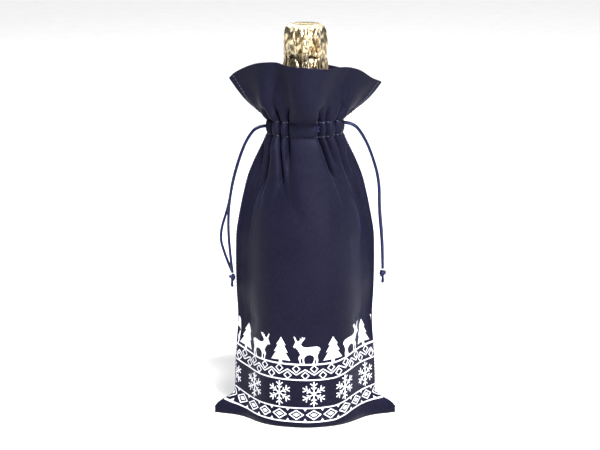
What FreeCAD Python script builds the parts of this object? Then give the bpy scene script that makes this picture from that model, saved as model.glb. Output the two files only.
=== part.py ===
import FreeCAD, Part
import math
import os
import re
import Sketcher

# Wine gift bag: a limp drawstring bag standing on the bottle inside it.
# Millimetres, +Z up, front of the bag towards -Y, origin on the floor under its middle.

SIZES = {
    # cloth
    "cloth": 1.0,
    "facing_cloth": 0.8,
    "fit_gap": 0.05,
    "cloth_ease": 1.0,
    "side_ease": 9.8,
    "ear_length": 18.2,
    "lip_roll": 3.0,
    "brim_height": 13.0,
    "wall_bottom": 22.0,
    "wall_top": 136.0,
    # drawn neck, channel and ruffle
    "neck_height": 235.4,
    "neck_radius": 29.4,
    "channel_half_height": 5.7,
    "channel_bulge": 0.7,
    "stitch_gap": 0.75,
    "channel_space": 2.75,
    "ruffle_height": 51.6,
    "ruffle_half_width": 59.5,
    "ruffle_half_depth": 44.5,
    # thread, cord and print
    "thread": 0.6,
    "cord": 2.2,
    "cord_spacing": 2.6,
    "slot_half_width": 2.9,
    "knot_radius": 2.7,
    "knot_half_height": 3.6,
    "end_length": 5.0,
    "print_bottom": 22.5,
    "print_top": 80.0,
    "print_film": 0.15,
    # bottle
    "bottle_radius": 44.0,
    "shoulder_start": 125.0,
    "hip_height": 180.0,
    "hip_radius": 29.0,
    "neck_base": 228.0,
    "neck_flare": 1.6,
    "glass": 5.0,
    "punt_height": 22.0,
    "neck_glass_radius": 14.6,
    "bottle_neck_top": 289.0,
    "bore_radius": 9.0,
    "wine_level": 236.0,
    "cork_head_radius": 14.4,
    "cork_head_height": 25.0,
    "wire": 0.9,
    "foil": 0.4,
    "foil_start": 200.0,
    "foil_ease": 0.3,
}

doc = FreeCAD.newDocument("wine_gift_bag")
sheet = doc.addObject("Spreadsheet::Sheet", "Sizes")
for row, (name, size) in enumerate(SIZES.items(), 1):
    sheet.set("A%d" % row, name)
    sheet.set("B%d" % row, str(size))
    sheet.setAlias("B%d" % row, name)
doc.recompute()

V = FreeCAD.Vector
PARTS = []
SEAM_HALF = "0.5 * thread + fit_gap"
WALL_DEPTH = "(bottle_radius + cloth + cloth_ease)"
WALL_WIDTH = "(bottle_radius + cloth + side_ease)"
EAR_WIDTH = "(bottle_radius + cloth + side_ease + ear_length)"
LIP_DEPTH = "(bottle_radius + cloth + cloth_ease + lip_roll)"
STRAND_OFFSET = "(0.5 * cord + 0.6)"
RUN_RADIUS = "(neck_radius - cloth - 0.5 * channel_space + 0.5 * channel_bulge)"


def full(expression):
    """Put the sheet's name before every size named in an expression."""
    def expand(match):
        word = match.group(0)
        return "Sizes." + word if word in SIZES else word
    return re.sub(r"[A-Za-z_]\w*", expand, expression)


def value(expression):
    return float(sheet.evalExpression(full(expression)))


def part(obj, name):
    obj.Label = name
    PARTS.append(obj)
    return obj


def new_body(name, turned_round=False):
    body = part(doc.addObject("PartDesign::Body", name), name)
    if turned_round:
        body.Placement = FreeCAD.Placement(V(0, 0, 0), FreeCAD.Rotation(V(0, 0, 1), 180))
    return body


def origin_plane(body, role):
    return next(item for item in body.Origin.OriginFeatures if item.Role == role)


def new_sketch(body, name, plane, offset=None, axis="z"):
    """A sketch on one of the body's origin planes, moved along that plane's normal."""
    sketch = body.newObject("Sketcher::SketchObject", name)
    sketch.AttachmentSupport = [(origin_plane(body, plane), "")]
    sketch.MapMode = "FlatFace"
    if offset is not None:
        sketch.setExpression("AttachmentOffset.Base." + axis, full(offset))
    return sketch


def size_constraint(sketch, kind, name, expression, *geometry):
    """Add a driving dimension bound to the sheet."""
    amount = value(expression)
    index = sketch.addConstraint(Sketcher.Constraint(kind, *geometry, abs(amount)))
    sketch.renameConstraint(index, name)
    sketch.setExpression("Constraints." + name, "abs(%s)" % full(expression))


def pin_vertex(sketch, geometry, vertex, name, across, up):
    """Fix one vertex at two expressions, measured from the sketch's origin."""
    for kind, letter, expression, axis in (("DistanceX", "x", across, -2), ("DistanceY", "y", up, -1)):
        amount = value(expression)
        if abs(amount) < 1e-6:
            sketch.addConstraint(Sketcher.Constraint("PointOnObject", geometry, vertex, axis))
        elif amount > 0:
            size_constraint(sketch, kind, name + letter, expression, -1, 1, geometry, vertex)
        else:
            size_constraint(sketch, kind, name + letter, expression, geometry, vertex, -1, 1)


def add_arc(sketch, start, middle, end):
    """Add the arc through three points. Returns its number and which of its ends is the start."""
    centre = Part.Arc(start, middle, end).toShape().Curve.Center
    onward = (middle - start).cross(end - middle).z > 0
    first, last = (start, end) if onward else (end, start)
    begin = math.atan2(first.y - centre.y, first.x - centre.x)
    finish = math.atan2(last.y - centre.y, last.x - centre.x)
    if finish < begin:
        finish += 2 * math.pi
    circle = Part.Circle(centre, V(0, 0, 1), (start - centre).Length)
    number = sketch.addGeometry(Part.ArcOfCircle(circle, begin, finish), False)
    return number, (1 if onward else 2)


def lens_arc(sketch, name, half_width, half_depth):
    """An arc through (-a, 0), (0, -b) and (a, 0). Returns the numbers of the arc and its ends."""
    a = value(half_width)
    b = value(half_depth)
    middle = V(0, -b, 0)
    number, left = add_arc(sketch, V(-a, 0, 0), middle, V(a, 0, 0))
    mark = sketch.addGeometry(Part.Point(middle), True)
    right = 3 - left
    pin_vertex(sketch, number, right, name + "_end", half_width, "0")
    sketch.addConstraint(Sketcher.Constraint("Symmetric", number, left, number, right, -1, 1))
    sketch.addConstraint(Sketcher.Constraint("PointOnObject", mark, 1, -2))
    sketch.addConstraint(Sketcher.Constraint("PointOnObject", mark, 1, number))
    size_constraint(sketch, "DistanceY", name + "_depth", half_depth, mark, 1, -1, 1)
    return number, left, right


def shell_section(body, name, height, half_width, half_depth, thickness):
    """The front half of a lens-shaped ring of cloth, ending at the side seams."""
    sketch = new_sketch(body, name, "XY_Plane", height)
    sketch.setExpression("AttachmentOffset.Base.y", full("-(%s)" % SEAM_HALF))
    outer_depth = "%s - (%s)" % (half_depth, SEAM_HALF)
    outer, outer_left, outer_right = lens_arc(sketch, "outer", half_width, outer_depth)
    inner_width = "%s - (%s)" % (half_width, thickness)
    inner_depth = "%s - (%s)" % (outer_depth, thickness)
    inner, inner_left, inner_right = lens_arc(sketch, "inner", inner_width, inner_depth)
    a = value(half_width)
    t = value(thickness)
    for sign, start, end in ((-1, outer_left, inner_left), (1, outer_right, inner_right)):
        line = Part.LineSegment(V(sign * a, 0, 0), V(sign * (a - t), 0, 0))
        number = sketch.addGeometry(line, False)
        sketch.addConstraint(Sketcher.Constraint("Coincident", number, 1, outer, start))
        sketch.addConstraint(Sketcher.Constraint("Coincident", number, 2, inner, end))
    return sketch


def loft(body, name, sections, ruled=False):
    feature = body.newObject("PartDesign::AdditiveLoft", name)
    feature.Profile = sections[0]
    feature.Sections = sections[1:]
    feature.Ruled = ruled
    for sketch in sections:
        sketch.Visibility = False
    return feature


def pad(body, name, sketch, length):
    feature = body.newObject("PartDesign::Pad", name)
    feature.Profile = sketch
    feature.setExpression("Length", full(length))
    sketch.Visibility = False
    return feature


# Outside of the cloth at each height: height, half width, half depth.
LOWER = [
    ("0", EAR_WIDTH + " - 0.6", LIP_DEPTH + " - 0.8"),
    ("0.15 * brim_height", EAR_WIDTH, LIP_DEPTH + " - 0.2"),
    ("0.32 * brim_height", EAR_WIDTH + " - 0.8", LIP_DEPTH),
    ("0.48 * brim_height", WALL_WIDTH + " + 0.75 * ear_length", LIP_DEPTH + " - 0.3"),
    ("0.68 * brim_height", WALL_WIDTH + " + 0.38 * ear_length", LIP_DEPTH + " - 0.8"),
    ("brim_height", WALL_WIDTH + " + 2", WALL_DEPTH + " + 0.8"),
    ("0.5 * brim_height + 0.5 * wall_bottom", WALL_WIDTH + " + 0.6", WALL_DEPTH + " + 0.2"),
    ("wall_bottom", WALL_WIDTH, WALL_DEPTH),
]


def taper(share_up, share_in, depth_in):
    """A section between the top of the wall and the drawn neck."""
    bottom = "(neck_height - channel_half_height)"
    height = "wall_top + %g * (%s - wall_top)" % (share_up, bottom)
    width = "%s - %g * (%s - neck_radius)" % (WALL_WIDTH, share_in, WALL_WIDTH)
    depth = "%s - %g * (%s - neck_radius)" % (WALL_DEPTH, depth_in, WALL_DEPTH)
    return height, width, depth


UPPER = [
    ("wall_top", WALL_WIDTH, WALL_DEPTH),
    taper(0.15, 0.02, 0.02),
    taper(0.31, 0.11, 0.12),
    taper(0.48, 0.24, 0.27),
    taper(0.65, 0.42, 0.46),
    taper(0.79, 0.62, 0.65),
    taper(0.91, 0.85, 0.86),
    ("neck_height - channel_half_height", "neck_radius", "neck_radius"),
]
CHANNEL = [
    ("neck_height - channel_half_height", "neck_radius", "neck_radius"),
    ("neck_height - 0.4 * channel_half_height", "neck_radius + channel_bulge", "neck_radius + channel_bulge"),
    ("neck_height + 0.4 * channel_half_height", "neck_radius + channel_bulge", "neck_radius + channel_bulge"),
    ("neck_height + channel_half_height", "neck_radius", "neck_radius"),
]


def flare(share_up, width_out, depth_out):
    """A section of the ruffle above the channel."""
    bottom = "(neck_height + channel_half_height)"
    height = "%s + %g * (ruffle_height - channel_half_height)" % (bottom, share_up)
    width = "neck_radius + %g * (ruffle_half_width - neck_radius)" % width_out
    depth = "neck_radius + %g * (ruffle_half_depth - neck_radius)" % depth_out
    return height, width, depth


RUFFLE = [
    flare(0.0, 0.0, 0.0),
    flare(0.14, 0.08, 0.06),
    flare(0.36, 0.31, 0.25),
    flare(0.63, 0.68, 0.57),
    flare(0.85, 0.92, 0.84),
    flare(1.0, 1.0, 1.0),
]

SIDES = (("front", -1), ("back", 1))


def sections(body, prefix, table, thickness, inset=None):
    made = []
    for number, (height, width, depth) in enumerate(table):
        if inset is not None:
            gap = inset[number]
            width = "%s - (%s)" % (width, gap)
            depth = "%s - (%s)" % (depth, gap)
        name = "%s_%d" % (prefix, number)
        made.append(shell_section(body, name, height, width, depth, thickness))
    return made


def exit_slot(body, name):
    """Open the side of the channel where the cords come out."""
    sketch = new_sketch(body, name + "_sketch", "YZ_Plane")
    half_height = "(0.5 * cord_spacing + %s + 0.5 * cord + 0.4)" % STRAND_OFFSET
    corners = (("-slot_half_width", "neck_height - " + half_height),
               ("slot_half_width", "neck_height - " + half_height),
               ("slot_half_width", "neck_height + " + half_height),
               ("-slot_half_width", "neck_height + " + half_height))
    closed_outline(sketch, corners)
    cut = body.newObject("PartDesign::Pocket", name)
    cut.Profile = sketch
    cut.Type = "ThroughAll"
    cut.Midplane = True
    sketch.Visibility = False


def closed_outline(sketch, corners, arcs=()):
    """A closed outline with every corner fixed. arcs: {edge number: (radius, bulge side)}."""
    arcs = dict(arcs)
    points = [V(value(x), value(y), 0) for x, y in corners]
    count = len(points)
    ends = []
    for index in range(count):
        start = points[index]
        end = points[(index + 1) % count]
        if index in arcs:
            radius, bulge = arcs[index]
            r = value(radius)
            chord = end - start
            normal = V(-chord.y, chord.x, 0).normalize() * bulge
            sagitta = r - math.sqrt(r * r - chord.Length ** 2 / 4)
            number, first = add_arc(sketch, start, (start + end) / 2 + normal * sagitta, end)
        else:
            number = sketch.addGeometry(Part.LineSegment(start, end), False)
            first = 1
        ends.append((number, first, 3 - first))
    for index in range(count):
        number, first, last = ends[index]
        following = ends[(index + 1) % count]
        sketch.addConstraint(Sketcher.Constraint("Coincident", number, last, following[0], following[1]))
        pin_vertex(sketch, number, first, "p%d" % index, *corners[index])
        if index in arcs:
            size_constraint(sketch, "Radius", "radius%d" % index, arcs[index][0], number)


# Front and back panels of the bag.
for label, side in SIDES:
    panel = new_body(label + "_panel", side > 0)
    prefix = label + "_panel"
    wall = shell_section(panel, prefix + "_wall_sketch", "wall_bottom", WALL_WIDTH, WALL_DEPTH,
                         "cloth")
    pad(panel, prefix + "_wall", wall, "wall_top - wall_bottom")
    loft(panel, prefix + "_brim", sections(panel, prefix + "_low", LOWER, "cloth"), True)
    loft(panel, prefix + "_shoulder", sections(panel, prefix + "_up", UPPER, "cloth"))
    loft(panel, prefix + "_channel", sections(panel, prefix + "_ring", CHANNEL, "cloth"), True)
    loft(panel, prefix + "_ruffle", sections(panel, prefix + "_top", RUFFLE, "cloth"))
    base = new_sketch(panel, prefix + "_base_sketch", "XY_Plane")
    base.setExpression("AttachmentOffset.Base.y", full("-(%s)" % SEAM_HALF))
    arc, left, right = lens_arc(base, "edge", EAR_WIDTH + " - 0.9", "%s - 1.2 - (%s)" % (LIP_DEPTH, SEAM_HALF))
    a = value(EAR_WIDTH + " - 0.9")
    line = base.addGeometry(Part.LineSegment(V(-a, 0, 0), V(a, 0, 0)), False)
    base.addConstraint(Sketcher.Constraint("Coincident", line, 1, arc, left))
    base.addConstraint(Sketcher.Constraint("Coincident", line, 2, arc, right))
    pad(panel, prefix + "_base", base, "cloth")
    exit_slot(panel, prefix + "_exit")

# Folded-in facing that closes the channel and lines the ruffle.
for label, side in SIDES:
    facing = new_body(label + "_facing", side > 0)
    prefix = label + "_facing"
    close = "cloth + stitch_gap"
    wide = "cloth + channel_bulge + channel_space"
    ring = sections(facing, prefix + "_ring", CHANNEL, "facing_cloth", (close, wide, wide, close))
    loft(facing, prefix + "_channel", ring, True)
    top = sections(facing, prefix + "_top", RUFFLE, "facing_cloth", [close] * len(RUFFLE))
    loft(facing, prefix + "_ruffle", top)

# Side seams: thread filling the gap between the panels, from the floor to the channel.
for label, sign in (("left", -1), ("right", 1)):
    seam = new_body(label + "_side_seam_thread")
    made = []
    for number, (height, width, depth) in enumerate(LOWER + UPPER):
        name = "%s_seam_%d" % (label, number)
        sketch = new_sketch(seam, name, "XY_Plane", height)
        outer = "%d * (%s - 0.05)" % (sign, width)
        inner = "%d * (%s - cloth + 0.05)" % (sign, width)
        closed_outline(sketch, ((inner, "-0.5 * thread"), (outer, "-0.5 * thread"),
                                (outer, "0.5 * thread"), (inner, "0.5 * thread")))
        made.append(sketch)
    loft(seam, label + "_seam_loft", made, True)

# Bottom seam thread, under the bottle.
bottom_seam = part(doc.addObject("Part::Box", "bottom_seam_thread"), "bottom_seam_thread")
bottom_seam.setExpression("Length", full("2 * (%s - cloth - 0.7)" % EAR_WIDTH))
bottom_seam.setExpression("Width", full("thread"))
bottom_seam.setExpression("Height", full("cloth - 0.1"))
bottom_seam.setExpression("Placement.Base.x", full("-(%s - cloth - 0.7)" % EAR_WIDTH))
bottom_seam.setExpression("Placement.Base.y", full("-0.5 * thread"))
bottom_seam.setExpression("Placement.Base.z", "0.05")

# Rings of stitches that hold the facing to the panels, below and above the channel.
for label, sign in (("lower", -1), ("upper", 1)):
    name = label + "_channel_stitches"
    ring = part(doc.addObject("Part::Torus", name), name)
    ring.setExpression("Radius1", full("neck_radius - cloth - 0.5 * stitch_gap"))
    ring.setExpression("Radius2", full("0.5 * thread"))
    ring.setExpression("Placement.Base.z",
                       full("neck_height + %d * (channel_half_height - 0.5 * thread)" % sign))

# Print on the wall of each panel, as a thin film of ink.
for label, side in SIDES:
    ink = new_body(label + "_print", side > 0)
    outline = shell_section(ink, label + "_print_sketch", "print_bottom",
                            WALL_WIDTH + " + fit_gap + print_film",
                            WALL_DEPTH + " + fit_gap + print_film", "print_film")
    pad(ink, label + "_print_film", outline, "print_top - print_bottom")


# Drawstrings.
def cord_route(sketch, points):
    """Straight runs joined by tangent arcs. points are (across, height) expressions."""
    place = [V(value(x), value(z), 0) for x, z in points]
    marks = []
    for index, spot in enumerate(place):
        mark = sketch.addGeometry(Part.Point(spot), True)
        pin_vertex(sketch, mark, 1, "v%d" % index, *points[index])
        marks.append(mark)
    radii = []
    trims = []
    for index in range(1, len(place) - 1):
        before = place[index] - place[index - 1]
        after = place[index + 1] - place[index]
        turn = before.getAngle(after)
        trim = 0.45 * min(before.Length, after.Length)
        trims.append(trim)
        radii.append(trim / math.tan(turn / 2))
    runs = []
    for index in range(len(place) - 1):
        way = (place[index + 1] - place[index]).normalize()
        start = place[index] + way * (trims[index - 1] if index > 0 else 0)
        end = place[index + 1] - way * (trims[index] if index < len(trims) else 0)
        run = sketch.addGeometry(Part.LineSegment(start, end), False)
        runs.append(run)
        if index == 0:
            sketch.addConstraint(Sketcher.Constraint("Coincident", run, 1, marks[0], 1))
        else:
            sketch.addConstraint(Sketcher.Constraint("PointOnObject", marks[index], 1, run))
        if index == len(place) - 2:
            sketch.addConstraint(Sketcher.Constraint("Coincident", run, 2, marks[-1], 1))
        else:
            sketch.addConstraint(Sketcher.Constraint("PointOnObject", marks[index + 1], 1, run))
    for index, radius in enumerate(radii):
        first = sketch.Geometry[runs[index]]
        second = sketch.Geometry[runs[index + 1]]
        corner = place[index + 1]
        way = (first.EndPoint - corner).normalize() + (second.StartPoint - corner).normalize()
        reach = math.hypot(radius, trims[index])
        middle = corner + way.normalize() * (reach - radius)
        arc, begin = add_arc(sketch, first.EndPoint, middle, second.StartPoint)
        sketch.addConstraint(Sketcher.Constraint("Tangent", runs[index], 2, arc, begin))
        sketch.addConstraint(Sketcher.Constraint("Tangent", arc, 3 - begin, runs[index + 1], 1))
        name = "bend%d" % index
        number = sketch.addConstraint(Sketcher.Constraint("Radius", arc, radius))
        sketch.renameConstraint(number, name)
    return radii


EXIT_X = "%s + 0.5 * cord + 0.35" % RUN_RADIUS
LEFT_Z = "neck_height - 0.5 * cord_spacing"
RIGHT_Z = "neck_height + 0.5 * cord_spacing"


def strand(name, side, exit_height, sign, route):
    """One free strand, lying in a plane just in front of or behind the middle."""
    body = new_body(name)
    path = new_sketch(body, name + "_route", "XZ_Plane", "%d * (%s)" % (-side, STRAND_OFFSET))
    points = [("%d * (%s)" % (sign, EXIT_X), exit_height)]
    for start, out, drop in route:
        points.append(("%d * (%s + %g)" % (sign, start, out), "%s - %g" % (exit_height, drop)))
    radii = cord_route(path, points)
    profile = new_sketch(body, name + "_section", "YZ_Plane", "%d * (%s)" % (sign, EXIT_X))
    centre = V(side * value(STRAND_OFFSET), value(exit_height), 0)
    number = profile.addGeometry(Part.Circle(centre, V(0, 0, 1), value("0.5 * cord")), False)
    pin_vertex(profile, number, 3, "centre", "%d * (%s)" % (side, STRAND_OFFSET), exit_height)
    size_constraint(profile, "Radius", "radius", "0.5 * cord", number)
    pipe = body.newObject("PartDesign::AdditivePipe", name + "_pipe")
    pipe.Profile = profile
    pipe.Spine = (path, ["Edge%d" % (index + 1) for index in range(len(path.Shape.Edges))])
    path.Visibility = False
    profile.Visibility = False
    return body, path, radii


# Each corner: where it is measured from, how far outside that, and how far below the exit.
NECK = "neck_radius"
WALL = WALL_WIDTH
DRAWSTRINGS = {
    "left": (-1, LEFT_Z, {
        "front": ((NECK, 8.4, 0), (NECK, 16.2, 9.8), (NECK, 22.0, 23.8), (WALL, 2.9, 46.0), (WALL, 6.2, 67.5),
                  (WALL, 6.2, 93.3), (WALL, 3.1, 118.7)),
        "back": ((NECK, 8.4, 0), (NECK, 16.2, 9.8), (NECK, 22.2, 23.8), (WALL, 3.0, 45.0), (WALL, 5.7, 64.0),
                 (WALL, 13.6, 88.0), (WALL, 9.4, 104.5), (WALL, 3.5, 118.7)),
    }),
    "right": (1, RIGHT_Z, {
        "front": ((NECK, 8.4, 0), (NECK, 16.2, 9.8), (NECK, 22.8, 23.8), (WALL, 3.8, 46.0), (WALL, 3.8, 72.0),
                  (WALL, 6.5, 97.0), (WALL, 6.9, 118.0)),
        "back": ((NECK, 8.6, 0), (NECK, 16.6, 10.4), (NECK, 23.2, 25.0), (WALL, 4.2, 46.5), (WALL, 4.4, 70.0),
                 (WALL, 7.0, 95.0), (WALL, 7.2, 118.0)),
    }),
}
KNOTS = {"left": (3.3, 122.6), "right": (6.9, 121.8)}

tubes = []
for label, (sign, exit_height, routes) in DRAWSTRINGS.items():
    ring_name = label + "_drawstring_channel_run"
    ring = part(doc.addObject("Part::Torus", ring_name), ring_name)
    ring.setExpression("Radius1", full(RUN_RADIUS))
    ring.setExpression("Radius2", full("0.5 * cord"))
    ring.setExpression("Placement.Base.z", full(exit_height))
    opening = "asin((%s + 0.5 * cord + 0.35) / %s)" % (STRAND_OFFSET, RUN_RADIUS)
    turn = 180 if sign < 0 else 0
    ring.Placement.Rotation = FreeCAD.Rotation(V(0, 0, 1), turn)
    ring.setExpression("Placement.Rotation.Angle", full("%d deg + %s" % (turn, opening)))
    ring.setExpression("Angle3", full("360 deg - 2 * %s" % opening))
    for (where, side) in SIDES:
        name = "%s_%s_strand" % (label, where)
        body, path, radii = strand(name, side, exit_height, sign, routes[where])
        tubes.append((body, path, radii))
    out, drop = KNOTS[label]
    knot = part(doc.addObject("Part::Ellipsoid", label + "_knot"), label + "_knot")
    knot.setExpression("Radius1", full("knot_half_height"))
    knot.setExpression("Radius2", full("knot_radius"))
    knot.setExpression("Radius3", full("knot_radius + 0.3"))
    knot.setExpression("Placement.Base.x", full("%d * (%s + %g)" % (sign, WALL, out)))
    knot.setExpression("Placement.Base.z", full("%s - %g" % (exit_height, drop)))
    ends = []
    for where, side in SIDES:
        end = doc.addObject("Part::Cylinder", "%s_%s_cord_end" % (label, where))
        end.setExpression("Radius", full("0.5 * cord"))
        end.setExpression("Height", full("end_length"))
        end.setExpression("Placement.Base.x",
                          full("%d * (%s + %g) + %d * 0.55 * cord" % (sign, WALL, out, side)))
        end.setExpression("Placement.Base.y", full("%d * 0.2 * cord" % side))
        end.setExpression("Placement.Base.z",
                          full("%s - %g - knot_half_height - 0.05 - end_length" % (exit_height, drop)))
        ends.append(end)
    both = part(doc.addObject("Part::Compound", label + "_cord_ends"), label + "_cord_ends")
    both.Links = ends


# Bottle, turned about its own axis.
def turned(name, corners, arcs=()):
    body = new_body(name)
    sketch = new_sketch(body, name + "_profile", "XZ_Plane")
    closed_outline(sketch, corners, arcs)
    feature = body.newObject("PartDesign::Revolution", name + "_turned")
    feature.Profile = sketch
    feature.ReferenceAxis = (sketch, ["V_Axis"])
    feature.Angle = 360
    sketch.Visibility = False
    return body


def hollow_out(body, corners, arcs=()):
    sketch = new_sketch(body, body.Name + "_inside", "XZ_Plane")
    closed_outline(sketch, corners, arcs)
    feature = body.newObject("PartDesign::Groove", body.Name + "_hollow")
    feature.Profile = sketch
    feature.ReferenceAxis = (sketch, ["V_Axis"])
    feature.Angle = 360
    sketch.Visibility = False


FLOOR = "cloth + fit_gap"
LIP = "neck_glass_radius + 0.9"
SHOULDER_R = ("((bottle_radius - hip_radius)^2 + (hip_height - shoulder_start)^2)"
              " / (2 * (bottle_radius - hip_radius))")


def hollow_arc(from_radius, to_radius):
    """Radius of an arc from the hip that ends upright at the foot of the neck."""
    step = "(%s - (%s))" % (from_radius, to_radius)
    return "((%s^2 + (neck_base - hip_height)^2) / (2 * %s))" % (step, step)


def bottle_inside(gap):
    """The wall of the hollow, from the punt up to the bore."""
    return (
        ("0", "punt_height + glass + " + gap),
        ("0.80 * bottle_radius - " + gap, FLOOR + " + glass + 1.5 + " + gap),
        ("bottle_radius - glass - " + gap, FLOOR + " + glass + 7"),
        ("bottle_radius - glass - " + gap, "shoulder_start"),
        ("hip_radius - glass - " + gap, "hip_height"),
        ("bore_radius - " + gap, "neck_base"),
    )


INSIDE_ARCS = {3: (SHOULDER_R, -1), 4: (hollow_arc("hip_radius - glass", "bore_radius"), 1)}
NECK_FOOT = "neck_glass_radius + neck_flare"
bottle = turned("glass_bottle", (
    ("0", "punt_height"),
    ("0.72 * bottle_radius", FLOOR + " + 0.4"),
    ("0.86 * bottle_radius", FLOOR),
    ("bottle_radius", FLOOR + " + 6"),
    ("bottle_radius", "shoulder_start"),
    ("hip_radius", "hip_height"),
    (NECK_FOOT, "neck_base"),
    ("neck_glass_radius", "bottle_neck_top - 24"),
    ("neck_glass_radius", "bottle_neck_top - 8"),
    (LIP, "bottle_neck_top - 7"),
    (LIP, "bottle_neck_top - 1"),
    ("neck_glass_radius", "bottle_neck_top"),
    ("0", "bottle_neck_top"),
), {4: (SHOULDER_R, -1), 5: (hollow_arc("hip_radius", NECK_FOOT), 1)})
hollow_out(bottle, bottle_inside("0") + (("bore_radius", "bottle_neck_top"), ("0", "bottle_neck_top")),
           INSIDE_ARCS)
turned("wine", bottle_inside("0.12") + (("bore_radius - 0.12", "wine_level"), ("0", "wine_level")),
       INSIDE_ARCS)
CORK_FOOT = "bottle_neck_top - 24"
CORK_TOP = "bottle_neck_top + cork_head_height"
turned("cork", (
    ("0", CORK_FOOT),
    ("bore_radius - fit_gap", CORK_FOOT),
    ("bore_radius - fit_gap", "bottle_neck_top + fit_gap"),
    ("cork_head_radius - 1.4", "bottle_neck_top + fit_gap"),
    ("cork_head_radius", "bottle_neck_top + 6"),
    ("cork_head_radius", CORK_TOP + " - 7"),
    ("cork_head_radius - 2.6", CORK_TOP + " - 1.2"),
    ("cork_head_radius - 5", CORK_TOP),
    ("0", CORK_TOP),
))
turned("cork_cap", (
    ("0", CORK_TOP + " + 0.05"),
    ("cork_head_radius - 5.2", CORK_TOP + " + 0.05"),
    ("cork_head_radius - 5.2", CORK_TOP + " + 0.45"),
    ("0", CORK_TOP + " + 0.45"),
))

CAGE_R = "(max(neck_glass_radius + 0.9; cork_head_radius) + 0.2 + 0.5 * wire)"
# Wire cage: a ring under the lip, a ring over the cap and four wires between.
low_ring = doc.addObject("Part::Torus", "wire_cage_low_ring")
low_ring.setExpression("Radius1", full("neck_glass_radius + 0.1 + 0.5 * wire"))
low_ring.setExpression("Radius2", full("0.5 * wire"))
low_ring.setExpression("Placement.Base.z", full("bottle_neck_top - 8.8 - 0.5 * wire"))
high_ring = doc.addObject("Part::Torus", "wire_cage_high_ring")
high_ring.setExpression("Radius1", full("cork_head_radius - 3.2"))
high_ring.setExpression("Radius2", full("0.5 * wire"))
high_ring.setExpression("Placement.Base.z", full(CORK_TOP + " + 0.1 + 0.5 * wire"))
wires = [low_ring, high_ring]
for number in range(4):
    angle = math.radians(45 + 90 * number)
    upright = doc.addObject("Part::Cylinder", "wire_cage_upright_%d" % number)
    upright.setExpression("Radius", full("0.45 * wire"))
    upright.setExpression("Height", full("cork_head_height + 9.4"))
    for axis, share in (("x", math.cos(angle)), ("y", math.sin(angle))):
        upright.setExpression("Placement.Base." + axis,
                              full("%.6f * %s" % (share, CAGE_R)))
    upright.setExpression("Placement.Base.z", full("bottle_neck_top - 9.3"))
    wires.append(upright)
    spoke = doc.addObject("Part::Cylinder", "wire_cage_spoke_%d" % number)
    spoke.setExpression("Radius", full("0.45 * wire"))
    spoke.setExpression("Height", full(CAGE_R + " - cork_head_radius + 3.2"))
    spoke.Placement.Rotation = FreeCAD.Rotation(V(0, 0, 1), V(math.cos(angle), math.sin(angle), 0))
    for axis, share in (("x", math.cos(angle)), ("y", math.sin(angle))):
        spoke.setExpression("Placement.Base." + axis, full("%.6f * (cork_head_radius - 3.2)" % share))
    spoke.setExpression("Placement.Base.z", full(CORK_TOP + " + 0.1 + 0.5 * wire"))
    wires.append(spoke)
cage = part(doc.addObject("Part::MultiFuse", "wire_cage"), "wire_cage")
cage.Shapes = wires

# Foil hood over the neck and cork, pinched in under the cork's head.
FOIL_R = "(%s + 0.5 * wire + foil + 0.5 + foil_ease)" % CAGE_R
SKIRT_ARC = hollow_arc("hip_radius", NECK_FOOT)
FOIL_FOOT = "(%s + %s - sqrt((%s)^2 - (neck_base - foil_start)^2) + 0.5)" % (NECK_FOOT, SKIRT_ARC, SKIRT_ARC)
FOIL_TOP = CORK_TOP + " + 1.4 + foil"
turned("foil_hood", (
    (FOIL_FOOT, "foil_start"),
    (FOIL_FOOT + " + foil", "foil_start"),
    (FOIL_R + " + 0.4", "foil_start + 26"),
    (FOIL_R, "bottle_neck_top - 6"),
    (FOIL_R + " - 0.5", "bottle_neck_top + 1"),
    (FOIL_R, "bottle_neck_top + 7"),
    (FOIL_R, FOIL_TOP + " - 2.4"),
    (FOIL_R + " - 1.2", FOIL_TOP),
    ("0", FOIL_TOP),
    ("0", FOIL_TOP + " - foil"),
    (FOIL_R + " - 1.5", FOIL_TOP + " - foil"),
    (FOIL_R + " - foil", FOIL_TOP + " - 2.6"),
    (FOIL_R + " - foil", "bottle_neck_top + 7"),
    (FOIL_R + " - 0.5 - foil", "bottle_neck_top + 1"),
    (FOIL_R + " - foil", "bottle_neck_top - 6"),
    (FOIL_R + " + 0.4 - foil", "foil_start + 26"),
))

doc.recompute()

problems = []
for obj in doc.Objects:
    if "Invalid" in obj.State or "Error" in obj.State:
        problems.append("%s (%s)" % (obj.Name, ", ".join(obj.State)))
for obj in PARTS:
    if obj.Shape.isNull() or not obj.Shape.isValid() or not obj.Shape.Solids:
        problems.append("%s has no valid solid" % obj.Label)
if problems:
    raise RuntimeError("not built: " + "; ".join(problems))

for body, path, radii in tubes:
    length = path.Shape.Length
    volume = math.pi * value("0.5 * cord") ** 2 * length
    off = abs(body.Shape.Volume / volume - 1)
    print("%s: %.1f mm long, bend radii %s, volume within %.2f%%"
          % (body.Label, length, ", ".join("%.1f" % r for r in radii), 100 * off))
    if off > 0.01 or min(radii) < 3 * value("cord") - 0.01:
        raise RuntimeError(body.Label + " is not a clean tube")

os.makedirs("parts", exist_ok=True)
for obj in PARTS:
    obj.Shape.exportStep("parts/%s.step" % obj.Label)
    box = obj.Shape.BoundBox
    print("%-32s x %7.2f %7.2f  y %7.2f %7.2f  z %7.2f %7.2f  %9.0f mm3"
          % (obj.Label, box.XMin, box.XMax, box.YMin, box.YMax, box.ZMin, box.ZMax, obj.Shape.Volume))
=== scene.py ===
"""A limp satin gift bag drawn closed round a foil-topped bottle.

Everything is made in millimetres in the frame's own axes and turned to metres
when its mesh is made: +Z up, the printed front towards -Y, the ears along X.
"""

import math

import bpy
import numpy as np
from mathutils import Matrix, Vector, geometry, noise


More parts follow.
